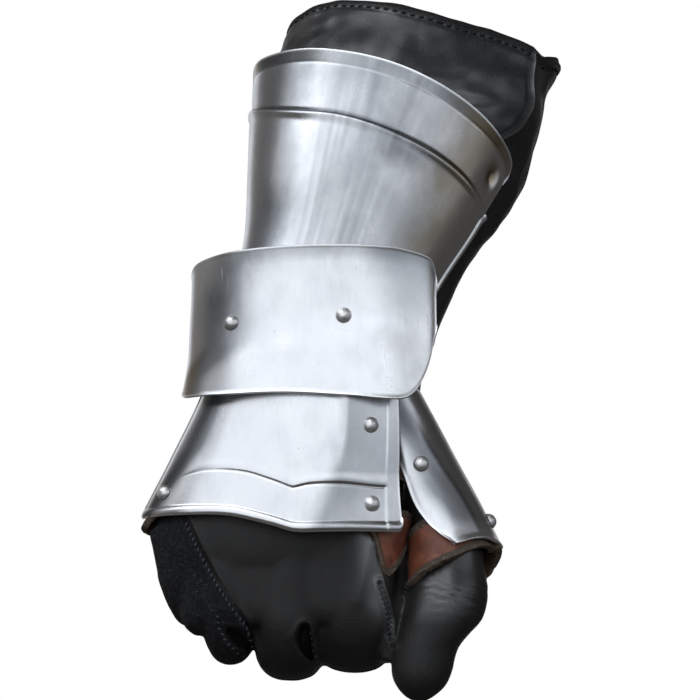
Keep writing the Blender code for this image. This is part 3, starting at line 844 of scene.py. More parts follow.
def steel(name, turn=(0.0, 0.0, 0.0)):
    """Satin steel plate, brushed along its length, which turn lays along the forearm or the hand."""
    made = Finish(name, metallic=1.0)
    tree = made.tree
    brushing = made.group("brushing", stretched(tree, made.coords, (1.0, 1.0, 1.0), turn))
    marks = made.group("marks", made.coords)
    # A lighter band along the plate's edges: partly polished edge wear, partly a painted highlight on the
    # edges
    edge = range_node(tree, made.attribute("border"), 1.0, 0.2)
    colour = made.blend(marks["Clouds"], (0.63, 0.64, 0.66), (0.68, 0.69, 0.705))
    colour = made.blend(math_node(tree, "MULTIPLY", brushing["Haze"], 0.16), colour, (0.5, 0.515, 0.545))
    # Painted shade: the painted_shade attribute, with a little random haze, darkens the colour towards a cool
    # or warm dark grey in place of dark reflections
    painted_dulling = math_node(tree, "MULTIPLY_ADD", brushing["Haze"], 0.12, made.attribute("painted_shade"))
    painted_shade = made.blend(made.attribute("painted_shade_warmth"), (0.19, 0.2, 0.215), (0.235, 0.19, 0.125))
    colour = made.blend(math_node(tree, "SUBTRACT", painted_dulling, 0.06, clamp=True), colour, painted_shade)
    # Painted deeper shade, near black, where the painted shade goes past 1
    colour = made.blend(math_node(tree, "SUBTRACT", painted_dulling, 1.06, clamp=True), colour, (0.05, 0.052, 0.056))
    colour = made.blend(marks["Pits"], colour, (0.2, 0.18, 0.16))
    colour = made.blend(edge, colour, (0.78, 0.79, 0.8))
    roughness = made.lerp(brushing["Haze"], 0.27, 0.33)
    roughness = made.lerp(marks["Scratches"], roughness, 0.42)
    normal = made.bump(brushing["Height"], 0.28, 0.045)
    dips = math_node(tree, "MULTIPLY_ADD", marks["Scratches"], 0.35, marks["Pits"])
    normal = made.bump(math_node(tree, "MULTIPLY", dips, -1.0), 0.3, 0.1, normal)
    return made.finish(colour, roughness, normal)


def rivet_steel():
    """Duller steel, with the marks of the hammer."""
    made = Finish("rivet steel", metallic=1.0)
    marks = made.group("marks", made.coords)
    hammered = noise_node(made.tree, made.coords, 420.0, 1.0)
    colour = made.blend(marks["Clouds"], (0.62, 0.62, 0.62), (0.76, 0.76, 0.76))
    normal = made.bump(hammered, 0.4, 0.25)
    return made.finish(colour, made.lerp(marks["Clouds"], 0.4, 0.52), normal)


def brown_leather():
    """Worn brown leather, with a raw, fibrous band along its cut edges."""
    made = Finish("brown leather face", specular_ior_level=0.5)
    tree = made.tree
    grain = made.group("grain", made.coords, Scale=1500.0)
    nap = made.group("nap", made.coords, Scale=1500.0)
    stains = range_node(tree, noise_node(tree, made.coords, 70.0, 4.0, 0.6), 0.4, 0.65)
    colour = made.blend(grain["Mottling"], (0.13, 0.036, 0.018), (0.25, 0.08, 0.04))
    colour = made.blend(math_node(tree, "MULTIPLY", stains, 0.55), colour, (0.07, 0.025, 0.015))
    colour = made.blend(math_node(tree, "MULTIPLY", nap["Flecks"], 0.2), colour, (0.42, 0.2, 0.13))
    ragged = math_node(tree, "MULTIPLY_ADD", nap["Flecks"], 0.8, made.attribute("border"))
    raw = range_node(tree, ragged, 3.3, 2.6)
    frayed = made.blend(nap["Flecks"], (0.06, 0.045, 0.034), (0.24, 0.19, 0.15))
    colour = made.blend(raw, colour, frayed)
    roughness = made.lerp(raw, made.lerp(grain["Mottling"], 0.54, 0.42), 0.95)
    normal = made.bump(grain["Height"], made.lerp(raw, 0.4, 0.0), 0.14)
    normal = made.bump(nap["Height"], made.lerp(raw, 0.0, 0.9), 0.45, normal)
    return made.finish(colour, roughness, normal)


def raw_leather(name, dark, light):
    """Flesh side and cut edges of the straps: dry, dull and fibrous."""
    made = Finish(name, specular_ior_level=0.2)
    nap = made.group("nap", made.coords, Scale=1300.0)
    grain = made.group("grain", made.coords, Scale=1100.0)
    colour = made.blend(grain["Mottling"], dark, light)
    colour = made.blend(math_node(made.tree, "MULTIPLY", nap["Flecks"], 0.5), colour, (0.3, 0.23, 0.17))
    return made.finish(colour, 0.95, made.bump(nap["Height"], 1.0, 0.5))


def black_leather(name, suede_part=False):
    """Soft black leather. With suede_part, attributes make it suede, polish it and paint shade into the gaps
    between the fingers.
    """
    made = Finish(name, specular_ior_level=0.3, coat_roughness=0.3, coat_ior=1.9)
    tree = made.tree
    grain = made.group("grain", made.coords, Scale=1000.0)
    fine = noise_node(tree, made.coords, 420.0, 4.0, 0.65, 0.3)
    height = math_node(tree, "MULTIPLY_ADD", fine, 1.8, grain["Height"])
    worn = made.attribute("worn")
    if not suede_part:
        colour = made.blend(grain["Mottling"], (0.0055, 0.006, 0.007), (0.011, 0.0115, 0.013))
        join(tree, worn, made.shader.inputs["Coat Weight"])
        return made.finish(colour, 0.5, made.bump(height, 0.8, 0.18))
    colour = made.blend(grain["Mottling"], (0.0062, 0.006, 0.0058), (0.012, 0.0115, 0.0112))
    suede = made.attribute("suede")
    painted_gap_shade = made.attribute("painted_gap_shade")
    nap = made.group("nap", made.coords, Scale=2600.0)
    napped = made.blend(nap["Flecks"], (0.0035, 0.0037, 0.0045), (0.06, 0.064, 0.075))
    colour = made.blend(suede, colour, napped)
    # Painted shade: near black inside the gaps between the fingers
    colour = made.blend(painted_gap_shade, colour, (0.0012, 0.001, 0.001))
    roughness = made.lerp(suede, made.lerp(grain["Mottling"], 0.52, 0.6), 0.95)
    normal = made.bump(height, made.lerp(suede, 0.4, 0.0), 0.11)
    normal = made.bump(nap["Height"], made.lerp(suede, 0.0, 0.9), 0.35, normal)
    polish = math_node(tree, "MULTIPLY", worn, made.lerp(suede, 0.9, 0.0))
    join(tree, polish, made.shader.inputs["Coat Weight"])
    return made.finish(colour, roughness, normal)


def thread(name, colour):
    """Twisted waxed thread."""
    made = Finish(name, specular_ior_level=0.3)
    twist = noise_node(made.tree, made.coords, 2500.0, 2.0)
    shade = tuple(value * 1.7 for value in colour)
    return made.finish(made.blend(range_node(made.tree, twist, 0.4, 0.6), colour, shade), 0.7)


MATERIALS = {
    "forearm steel": steel("forearm steel", (FOREARM_LEAN, -FOREARM_TILT, 0.0)),
    "hand steel": steel("hand steel"),
    "thumb steel": steel("thumb steel", (0.0, 24.0, 0.0)),
    "rivet steel": rivet_steel(),
    "brown leather": brown_leather(),
    "flesh side": raw_leather("leather flesh side", (0.05, 0.025, 0.016), (0.1, 0.055, 0.035)),
    "cut edge": raw_leather("leather cut edge", (0.07, 0.048, 0.034), (0.16, 0.12, 0.09)),
    "cuff leather": black_leather("cuff leather"),
    "glove leather": black_leather("glove leather and suede", True),
    "black thread": thread("black thread", (0.032, 0.0345, 0.042)),
    "dark thread": thread("dark thread", (0.004, 0.004, 0.0045)),
}


# ---------------------------------------------------------------- steel plates


def waves(angle, height, size, seed):
    """The slight unevenness of a plate beaten by hand, from -1 to 1."""
    return noise_at(angle / size, height / size, seed)


def bead(distance, width, size):
    """A soft bead along an edge, with a faint groove behind it."""
    t = min(abs(distance - width / 2) / (width / 2), 1.0)
    return size * (1.0 - t**2.4) ** 1.3 - 0.05 * bell(distance, width + 0.4, 0.9)


def cuff_ridge(angle):
    """Where the ridge lies, and the share of the plate's rows below it."""
    return read(CUFF_RIDGE, angle)[0], 0.7


def cuff_relief(angle, height, sides):
    """A field that rises to a ridge, a groove past it, a flared rim, a step at the right end, a dimple."""
    _, above, left, right = sides
    past = height - cuff_ridge(angle)[0]
    step = 0.75 * ease(0.5, -0.5, past) * ease(-46.0, -8.0, past) - 0.6
    roll = 0.8 * bell(past, -1.8, 1.5)
    groove = -(0.45 + 0.4 * ease(20.0, 50.0, angle)) * bell(past, 0.5, 0.5)
    rim_width = 3.4 + 1.6 * ease(66.0, 30.0, angle)
    rim = 0.7 * max(0.0, 1.0 - above / rim_width) * ease(2.0, 16.0, left)
    groove -= 0.12 * bell(above, rim_width + 0.2, 0.5)
    side = ease(1.0, -1.0, past) * (0.6 * ease(2.3, 1.7, right) - 0.3 * bell(right, 2.8, 0.6))
    dimple = -1.5 * bell(angle, 60.0, 3.4) * bell(past, 12.0, 4.0)
    dimple += 0.7 * bell(angle, 66.5, 2.6) * bell(past, 11.5, 5.0)
    dent = -0.12 * bell(angle, 6.0, 3.0) * bell(past, -9.0, 3.0)
    return step + roll + groove + rim + side + dimple + dent + 0.1 * waves(angle, height, 16.0, 1.0)


def cuff_painted_shade(angle, height, sides):
    """Painted shade: darker towards both sides, along the rim, in the crease, in the dimple and in a patch
    below the ridge, and lighter in streaks.
    """
    _, above, left, right = sides
    past = height - cuff_ridge(angle)[0]
    across = read(CUFF_PAINTED_SHADE, angle)[0] + 0.15 * ease(0.0, 2.0, past) * ease(10.0, -10.0, angle)
    across += (0.4 * ease(50.0, 34.0, height) - 0.2 * bell(height, 54.0, 8.0)) * bell(angle, -45.0, 12.0)
    # Painted lighter streaks, where some of the painted shade is taken away
    lighter_streaks = noise_at(angle / 2.3, height / 60.0, 5.0) + 0.5 * noise_at(angle, height / 30.0, 8.0)
    lighter_streaks *= 0.26 - 0.12 * ease(0.0, 2.0, past)
    across -= lighter_streaks * ease(-36.0, -20.0, angle) * ease(24.0, 6.0, angle)
    # Painted shade along the flared rim
    rim = (0.75 * ease(60.0, 15.0, left) + 0.45 * ease(70.0, 25.0, right)) * ease(5.6, 3.4, above)
    # Painted shade in the crease, in the dimple and in a patch below the ridge
    painted_shade_spots = 0.4 * bell(past, 0.5, 0.7) + 0.9 * bell(angle, 60.5, 4.0) * bell(past, 12.0, 5.0)
    painted_shade_spots += 0.4 * bell(angle, 16.0, 18.0) * bell(past, -6.0, 7.0)
    # A warm tint for the painted shade, standing in for reflected warm surroundings
    painted_shade_warmth = max(ease(14.0, 48.0, angle), ease(-70.0, -80.0, angle))
    return across + rim * ease(0.2, 1.2, above) + painted_shade_spots, painted_shade_warmth


def wrist_painted_shade(angle, height, sides):
    """Painted shade: a dark band where the plate turns round the outer side of the wrist, and another along
    the top.
    """
    above = sides[1]
    lower_end = 26.0 * ease(-8.0, -26.0, height)  # the band comes further round the side there
    band = read(WRIST_PAINTED_SHADE, min(angle + lower_end, WRIST_PAINTED_SHADE[-1][0]))[0]
    top = 0.5 * ease(8.0, 1.5, above) * ease(-48.0, -34.0, angle)
    top += (0.3 * bell(angle, 30.0, 9.0) + 0.25 * bell(angle, -28.0, 8.0)) * ease(15.0, 4.0, above)
    band *= 1.0 - 0.6 * ease(8.0, 22.0, height) * ease(-42.0, -50.0, angle)
    band *= 1.0 - 0.45 * ease(20.0, 27.0, height)
    # the second value gives the painted shade a warm tint at the far left
    return band + top, ease(-58.0, -72.0, angle)


def hand_painted_shade(angle, height, sides):
    """Painted shade: a dark band along the outer side, and some on the side towards the thumb."""
    outer = 1.5 * bell(angle, -59.5 - 0.55 * max(0.0, -50.0 - height), 9.5)
    past_bend = angle - read(HAND_BEND, height)[0]
    inner = 0.1 + 0.25 * ease(-60.0, -70.0, height) + 0.2 * bell(past_bend, 3.0, 5.0)
    # the second value gives the painted shade a warm tint at the far left
    return outer + inner * ease(-3.5, 4.0, past_bend), 0.5 * ease(-68.0, -80.0, angle)


def wrist_relief(angle, height, sides):
    """Upper, lower and right edges turned out a little."""
    below, above, _, right = sides
    turned = 0.25 * ease(1.2, 0.0, min(below, above)) + 0.25 * ease(1.4, 0.0, right)
    return turned + 0.12 * waves(angle, height, 17.0, 4.0)


def hand_crease(angle):
    """Where the crease lies, and the share of the plate's rows below it."""
    return read(HAND_CREASE_LEFT if angle < CREASE_POINT else HAND_CREASE_RIGHT, angle)[0], 0.28


def hand_relief(angle, height, sides):
    """A crease, a raised border on the right, beaded lower and left edges, and a bend towards the thumb."""
    below, _, left, right = sides
    past = height - hand_crease(angle)[0]
    inside = ease(4.8, 6.0, right)
    border = 0.45 * (1.0 - inside)
    drawn = ease(-68.0, -24.0, angle)  # the crease dies out towards the left border
    right_half = ease(-9.0, -3.0, angle)
    roll = (0.1 + 0.1 * right_half) * bell(past, 2.0, 1.6)
    roll += 0.22 * ease(14.0, 1.0, past) * ease(0.0, 1.0, past)
    groove = -(0.2 + 0.08 * right_half) * bell(past, -0.1, 0.45)
    lip = bead(below, 4.2, 0.8)
    left_lip = 0.6 * ease(2.6, 1.4, left) - 0.2 * bell(left, 3.2, 0.6)
    past_bend = angle - read(HAND_BEND, height)[0]
    bend = -0.075 * (past_bend + math.sqrt(past_bend**2 + 12.0)) * ease(-100.0, -60.0, height)
    bend += 0.05 * max(0.0, height + 62.0) * ease(-1.0, 4.0, past_bend) * ease(-18.0, -30.0, height)
    uneven = 0.1 * waves(angle, height, 18.0, 7.0)
    return border + inside * drawn * (roll + groove) + max(lip, left_lip) + bend + uneven


def thumb_relief(angle, height, sides):
    """A soft keel along the thumb, and lower and left edges turned out a little."""
    below, _, left, right = sides
    keel_angle = read(THUMB_KEEL, height)[0]
    keel = 0.6 * math.exp(-math.sqrt((angle - keel_angle) ** 2 + 2.0) / 10.0) * ease(-30.0, -45.0, height)
    keel *= 0.3 + 0.7 * ease(-90.0, -76.0, height)
    lip = 0.4 * ease(2.0, 0.0, below) * ease(0.0, 6.0, right) + 0.25 * ease(1.6, 0.0, left)
    return keel + lip + 0.1 * waves(angle, height, 17.0, 11.0)


def thumb_painted_shade(angle, height, sides):
    """Painted shade along the keel and round the outer side, with little of it at the lower end, which stays
    bright.
    """
    past = angle - read(THUMB_KEEL, height)[0]
    wider = bell(height, -68.0, 9.0)
    across = ease(-46.0 - 12.0 * wider, -14.0 - 12.0 * wider, past) * (1.0 - 0.45 * ease(0.0, 12.0, past))
    across += 0.45 * ease(-50.0, -40.0, height) * ease(0.0, -16.0, past)
    return across * (1.0 - 0.75 * ease(-78.0, -88.0, height)), 0.0


def build_plates():
    cuff = Band(
        CUFF_PLATE_SECTIONS, CUFF_PLATE_EDGES, FOREARM_FRAME, ridge=cuff_ridge, corners=CUFF_PLATE_CORNERS
    )
    wrist = Band(WRIST_PLATE_SECTIONS, WRIST_PLATE_EDGES, corners=WRIST_PLATE_CORNERS)
    hand = Band(HAND_PLATE_SECTIONS, HAND_PLATE_EDGES, ridge=hand_crease, corners=HAND_PLATE_CORNERS)
    thumb = Band(THUMB_PLATE_SECTIONS, THUMB_PLATE_EDGES, left_ends=THUMB_PLATE_LEFT_ENDS)
    for name, band, cell, row_cell, steel_name, relief, painted_shade in (
        ("cuff_plate", cuff, 0.9, 0.45, "forearm steel", cuff_relief, cuff_painted_shade),
        ("wrist_plate", wrist, 0.9, 0.7, "hand steel", wrist_relief, wrist_painted_shade),
        ("hand_plate", hand, 0.8, 0.4, "hand steel", hand_relief, hand_painted_shade),
        ("thumb_plate", thumb, 0.7, 0.7, "thumb steel", thumb_relief, thumb_painted_shade),
    ):
        faces = [MATERIALS[steel_name]]
        plate = band_sheet(
            f"{name}_steel", band, cell, PLATE_THICKNESS, faces, relief, row_cell=row_cell, painted_shade=painted_shade
        )
        finished(plate, "polished_steel", name)


# ---------------------------------------------------------------- rivets


def surface_frame(sections, angle, height, outward=0.0):
    """A matrix at a point of a plate's face, with +Z outwards."""
    point = on_section(sections, angle, height, outward)
    across = on_section(sections, angle + 1.0, height) - on_section(sections, angle - 1.0, height)
    up = on_section(sections, angle, height + 1.0) - on_section(sections, angle, height - 1.0)
    out = across.cross(up).normalized()
    across.normalize()
    turned = Matrix((across, out.cross(across), out)).transposed()
    return Matrix.Translation(point) @ turned.to_4x4()


def build_rivet(name, place, grip, seed):
    """A domed head, a little uneven from the hammer, on a shank with a flat tail."""
    dome = (RIVET_HEAD_RADIUS**2 + RIVET_HEAD_HEIGHT**2) / (2 * RIVET_HEAD_HEIGHT)
    outline = [(0.0, RIVET_HEAD_HEIGHT)]
    for share in (0.12, 0.25, 0.38, 0.51, 0.63, 0.74, 0.84, 0.92, 0.98):
        radius = RIVET_HEAD_RADIUS * share
        outline.append((radius, RIVET_HEAD_HEIGHT - dome + math.sqrt(dome**2 - radius**2)))
    outline += [
        (RIVET_HEAD_RADIUS, 0.12),
        (RIVET_HEAD_RADIUS - 0.1, 0.02),
        (RIVET_SHANK_RADIUS, 0.02),
        (RIVET_SHANK_RADIUS, -grip),
        (RIVET_TAIL_RADIUS, -grip),
        (RIVET_TAIL_RADIUS, -grip - RIVET_TAIL_HEIGHT),
        (0.0, -grip - RIVET_TAIL_HEIGHT),
    ]
    bm = bmesh.new()
    verts = [bm.verts.new((radius, 0.0, z)) for radius, z in outline]
    edges = [bm.edges.new(pair) for pair in zip(verts, verts[1:])]
    bmesh.ops.spin(
        bm, geom=verts + edges, axis=(0, 0, 1), cent=(0, 0, 0), angle=math.tau, steps=32, use_merge=True
    )
    bmesh.ops.remove_doubles(bm, verts=bm.verts, dist=0.001)
    bmesh.ops.recalc_face_normals(bm, faces=bm.faces)
    for vert in bm.verts:
        if vert.co.z > 0.2:
            vert.co *= 1.0 + 0.05 * noise.noise(vert.co * 0.9 + Vector((seed * 7.0, 0.0, 0.0)))
    bmesh.ops.transform(bm, matrix=Matrix.Scale(MM, 4) @ place, verts=bm.verts)
    return add_object(name, bm, [MATERIALS["rivet steel"]], 40.0)


def build_rivets():
    inside = (20.0, 20.0, 20.0, 20.0)  # rivets are well away from the plates' edges
    plates = {
        "wrist_plate": (WRIST_PLATE_SECTIONS, wrist_relief),
        "hand_plate": (HAND_PLATE_SECTIONS, hand_relief),
        "thumb_plate": (THUMB_PLATE_SECTIONS, thumb_relief),
    }
    for seed, (name, plate, angle, height, grip) in enumerate(RIVETS):
        sections, relief = plates[plate]
        place = surface_frame(sections, angle, height, relief(angle, height, inside))
        finished(build_rivet(f"{name}_head", place, grip, seed), "rivet_steel", name)


# ---------------------------------------------------------------- brown leathers


def strap_relief(seed, flare):
    """Slight unevenness, and a lower edge that has curled outwards by flare."""

    def relief(angle, height, sides):
        below = sides[0]
        uneven = -0.3 * (0.5 + 0.5 * noise_at(angle * 0.07, height * 0.12, seed))
        frayed = 0.12 * noise_at(angle * 0.7, height * 1.6, seed) * ease(1.5, 0.0, below)
        return uneven + frayed + flare * ease(4.5, 0.0, below) ** 1.5

    return relief


def build_leathers():
    finishes = [MATERIALS["brown leather"], MATERIALS["flesh side"], MATERIALS["cut edge"]]
    palm = Band(PALM_STRAP_SECTIONS, PALM_STRAP_EDGES, rough_edge=0.5)
    thumb = Band(THUMB_STRAP_SECTIONS, THUMB_STRAP_EDGES, rough_edge=0.6)
    wrist = Band(WRIST_LEATHER_SECTIONS, WRIST_LEATHER_EDGES)
    for name, node, band, cell, thickness, relief, edge_round in (
        ("palm_strap_leather", "palm_strap", palm, 0.9, STRAP_THICKNESS, strap_relief(3.0, 1.5), 0.4),
        ("thumb_strap_leather", "thumb_strap", thumb, 0.6, STRAP_THICKNESS, strap_relief(5.0, 1.6), 0.4),
        ("wrist_link_leather", "wrist_leather", wrist, 2.0, LINK_THICKNESS, None, 0.3),
    ):
        leather = band_sheet(name, band, cell, thickness, finishes, relief, edge_round)
        finished(leather, "brown_leather", node)

    bm = bmesh.new()
    bmesh.ops.create_grid(bm, x_segments=30, y_segments=16, size=0.5)
    border = bm.verts.layers.float.new("border")
    start, end = THUMB_LINK_ROWS[0][0], THUMB_LINK_ROWS[-1][0]
    for vert in bm.verts:
        across, up = vert.co.x + 0.5, vert.co.y + 0.5
        x = start + (end - start) * across
        y, low, high = read(THUMB_LINK_ROWS, x)
        vert[border] = min(up, 1.0 - up) * (high - low)
        vert.co = Vector((x, y, low + (high - low) * up)) * MM
    link = add_object("thumb_link_leather", bm, finishes)
    add_wall(link, LINK_THICKNESS, 0.3, 3)
    finished(link, "brown_leather", "thumb_link")


# ---------------------------------------------------------------- glove forms


def ring(centre, half_width, half_depth, tilt=0.0, lean=0.0, turn=0.0):
    """A matrix that lays a unit circle as one section of the glove."""
    turned = Matrix.Rotation(math.radians(tilt), 4, "Y") @ Matrix.Rotation(math.radians(-lean), 4, "X")
    turned = turned @ Matrix.Rotation(math.radians(turn), 4, "Z")
    return Matrix.Translation(centre) @ turned @ Matrix.Diagonal((half_width, half_depth, half_width, 1.0))


def glove_rows():
    """Of each section: height along the arm, centre, half width, half depth, tilt, lean and turn."""
    rows = []
    for height, x, y, half_width, half_depth in GLOVE_HAND_ROWS:
        rows.append((height, x, y, height, half_width, half_depth, 0.0, 0.0, 0.0))
    for height, x, y, half_width, half_depth, slant, turn in GLOVE_CUFF_ROWS:
        centre = FOREARM_FRAME @ Vector((x, y, height))
        rows.append((height, *centre, half_width, half_depth, FOREARM_TILT + slant, FOREARM_LEAN, turn))
    return rows


GLOVE_ROWS = glove_rows()


def glove_ring(height, outward=0.0):
    x, y, z, half_width, half_depth, tilt, lean, turn = read(GLOVE_ROWS, height)
    return ring((x, y, z), half_width + outward, half_depth + outward, tilt, lean, turn)


def finger_rings(finger, inset, count):
    """Rings along a finger that hangs straight down, then bends back and up to its round tip."""
    _, root_x, bend_x, y, lowest, half_width, half_depth, bone, radius, narrowing, _ = finger
    low = lowest + half_depth
    straight = FINGER_ROOT - (low + radius)
    quarter = radius * math.pi / 2
    size = Vector((half_width - inset, half_depth - inset))
    rings = []

    def add(length, shrink, beyond):
        x = root_x + (bend_x - root_x) * min(length / straight, 1.0)
        if length <= straight:
            point, lean = Vector((x, y, FINGER_ROOT - length)), 0.0
        elif length <= straight + quarter:
            lean = (length - straight) / radius
            point = Vector((x, y + radius - radius * math.cos(lean), low + radius - radius * math.sin(lean)))
        elif length <= straight + quarter + bone:
            lean = math.pi / 2
            point = Vector((x, y + radius + length - straight - quarter, low))
        else:
            lean = (length - straight - quarter - bone) / radius + math.pi / 2
            middle = Vector((x, y + radius + bone, low + radius))
            point = middle + Vector((0.0, -radius * math.cos(lean), -radius * math.sin(lean)))
        ahead = Vector((0.0, math.sin(lean), -math.cos(lean)))
        width = size.x * shrink * (1.0 - narrowing * ease(0.0, 1.0, (length - straight) / quarter))
        rings.append(ring(point + ahead * beyond, width, size.y * shrink, lean=-math.degrees(lean)))

    end = straight + 2 * quarter + bone
    for length in spread(0.0, end, count):
        add(length, 1.0, 0.0)
    for turn in (15.0, 30.0, 45.0, 60.0, 73.0, 84.0):
        add(end, math.cos(math.radians(turn)), size.y * math.sin(math.radians(turn)))
    return rings


def merge(bm, form):
    """Moves what one bmesh holds into another."""
    mesh = bpy.data.meshes.new("form")
    form.to_mesh(mesh)
    form.free()
    bm.from_mesh(mesh)
    bpy.data.meshes.remove(mesh)


def tube(bm, rings, segments, fullness=1.0):
    """Adds a closed tube through the rings. A fullness under 1 squares its sections a little."""
    form = bmesh.new()
    bmesh.ops.create_circle(form, segments=segments, radius=1.0, cap_ends=True)
    for vert in form.verts:
        vert.co.x = math.copysign(abs(vert.co.x) ** fullness, vert.co.x)
        vert.co.y = math.copysign(abs(vert.co.y) ** fullness, vert.co.y)
    bmesh.ops.transform(form, matrix=rings[0], verts=form.verts)
    edges = list(form.edges)
    for before, after in zip(rings, rings[1:]):
        made = bmesh.ops.extrude_edge_only(form, edges=edges)["geom"]
        verts = [part for part in made if isinstance(part, bmesh.types.BMVert)]
        edges = [part for part in made if isinstance(part, bmesh.types.BMEdge)]
        bmesh.ops.transform(form, matrix=after @ before.inverted(), verts=verts)
    bmesh.ops.contextual_create(form, geom=edges)
    bmesh.ops.recalc_face_normals(form, faces=form.faces)
    merge(bm, form)


def level_rings(rows, count, inset=0.0):
    """Level rings through a table of height, centre x, centre y, half width and half depth."""
    rings = []
    for height in spread(rows[0][0] + inset, rows[-1][0], count):
        x, y, half_width, half_depth = read(rows, height)
        rings.append(ring((x, y, height), max(half_width - inset, 1.0), max(half_depth - inset, 1.0)))
    return rings


def hand_forms(inset):
    """The hand, the thumb and the fingers as overlapping closed tubes, in millimetres."""
    bm = bmesh.new()
    heights = spread(GLOVE_HAND_ROWS[0][0] + inset, CUFF_SPLIT + 10.0, 36)
    tube(bm, [glove_ring(height, -inset) for height in heights], 64)
    tube(bm, level_rings(THUMB_ROWS, 60, inset), 40)
    for finger in FINGERS:
        tube(bm, finger_rings(finger, inset, 40), 40, finger[-1])
    if not inset:  # the outer skin alone is filled out between the fingers
        tube(bm, level_rings(THUMB_WEB_ROWS, 20), 28)
        tube(bm, level_rings(KNUCKLE_ROWS, 20), 64, KNUCKLE_FULLNESS)
        for x, y, half_width, half_depth, lowest in WEBS:
            web = []
            for height in spread(lowest, FINGER_ROOT, 14):
                shrink = max(math.sqrt(1.0 - max(0.0, 1.0 - (height - lowest) / half_depth) ** 2), 0.1)
                web.append(ring((x, y, height), half_width * shrink, half_depth * shrink))
            tube(bm, web, 24)
    return bm


def fused(bm, voxel, smoothing):
    """One closed skin round overlapping forms, smoothed. Returns it as a bmesh in millimetres."""
    mesh = bpy.data.meshes.new("forms")
    bm.to_mesh(mesh)
    bm.free()
    obj = bpy.data.objects.new("forms", mesh)
    bpy.context.scene.collection.objects.link(obj)
    remesh = obj.modifiers.new("fuse", "REMESH")
    remesh.mode = "VOXEL"
    remesh.voxel_size = voxel
    graph = bpy.context.evaluated_depsgraph_get()
    skin = bpy.data.meshes.new_from_object(obj.evaluated_get(graph))
    made = bmesh.new()
    made.from_mesh(skin)
    bpy.data.objects.remove(obj)
    bpy.data.meshes.remove(skin)
    for _ in range(smoothing):
        bmesh.ops.smooth_vert(
            made, verts=made.verts, factor=0.5, use_axis_x=True, use_axis_y=True, use_axis_z=True
        )
    return made


def cut_open(bm, at):
    """Removes what lies above a ring's plane."""
    centre = at.translation
    normal = (at.to_3x3() @ Vector((0.0, 0.0, 1.0))).normalized()
    parts = bm.verts[:] + bm.edges[:] + bm.faces[:]
    bmesh.ops.bisect_plane(bm, geom=parts, dist=0.0001, plane_co=centre, plane_no=normal, clear_outer=True)


# ---------------------------------------------------------------- sculpting the glove's skin


def line_distance(points, line):
    """Distances in the XZ plane from points to a line of (x, z), and how far along it each is, 0 to 1."""
    best = np.full(len(points), 1e9)
    along = np.zeros(len(points))
    flat = points[:, [0, 2]]
    ends = np.array(line, float)
    lengths = np.linalg.norm(np.diff(ends, axis=0), axis=1)
    starts = np.concatenate([[0.0], np.cumsum(lengths)])
    for i, (start, end) in enumerate(zip(ends, ends[1:])):
        step = end - start
        t = np.clip(((flat - start) @ step) / (step @ step), 0.0, 1.0)
        distance = np.linalg.norm(flat - start - t[:, None] * step, axis=1)
        nearer = distance < best
        best[nearer] = distance[nearer]
        along[nearer] = (starts[i] + t[nearer] * lengths[i]) / starts[-1]
    return best, along


def soft_step(low, high, values):
    """ease for an array of values."""
    t = np.clip((values - low) / (high - low), 0.0, 1.0)
    return t * t * (3 - 2 * t)


def bells(values, centre, width):
    """bell for an array of values."""
    return np.exp(-(((values - centre) / width) ** 2))


def noise_over(points, size, seed, stretch=(1.0, 1.0, 1.0)):
    scale = np.array(stretch) / size
    offset = Vector((seed * 13.7, seed * 5.1, seed * 9.3))
    return np.array([noise.noise(Vector(point * scale) + offset) for point in points])


def suede_mask(points):
    """1 on the suede palm and little-finger side, 0 on the smooth leather of the back and the thumb."""
    x, y, z = points.T
    seam_x, seam_z = np.array(SUEDE_SEAM, float)[::-1].T
    left = soft_step(0.5, -0.5, x - np.interp(z, seam_z, seam_x)) * soft_step(4.0, 3.0, y)
    palm = soft_step(3.0, 4.0, y) * soft_step(26.0, 24.5, x)
    thumb = soft_step(24.0, 28.0, x) * soft_step(-70.0, -80.0, z)
    return np.clip(np.maximum(left, palm) * (1.0 - thumb), 0.0, 1.0)


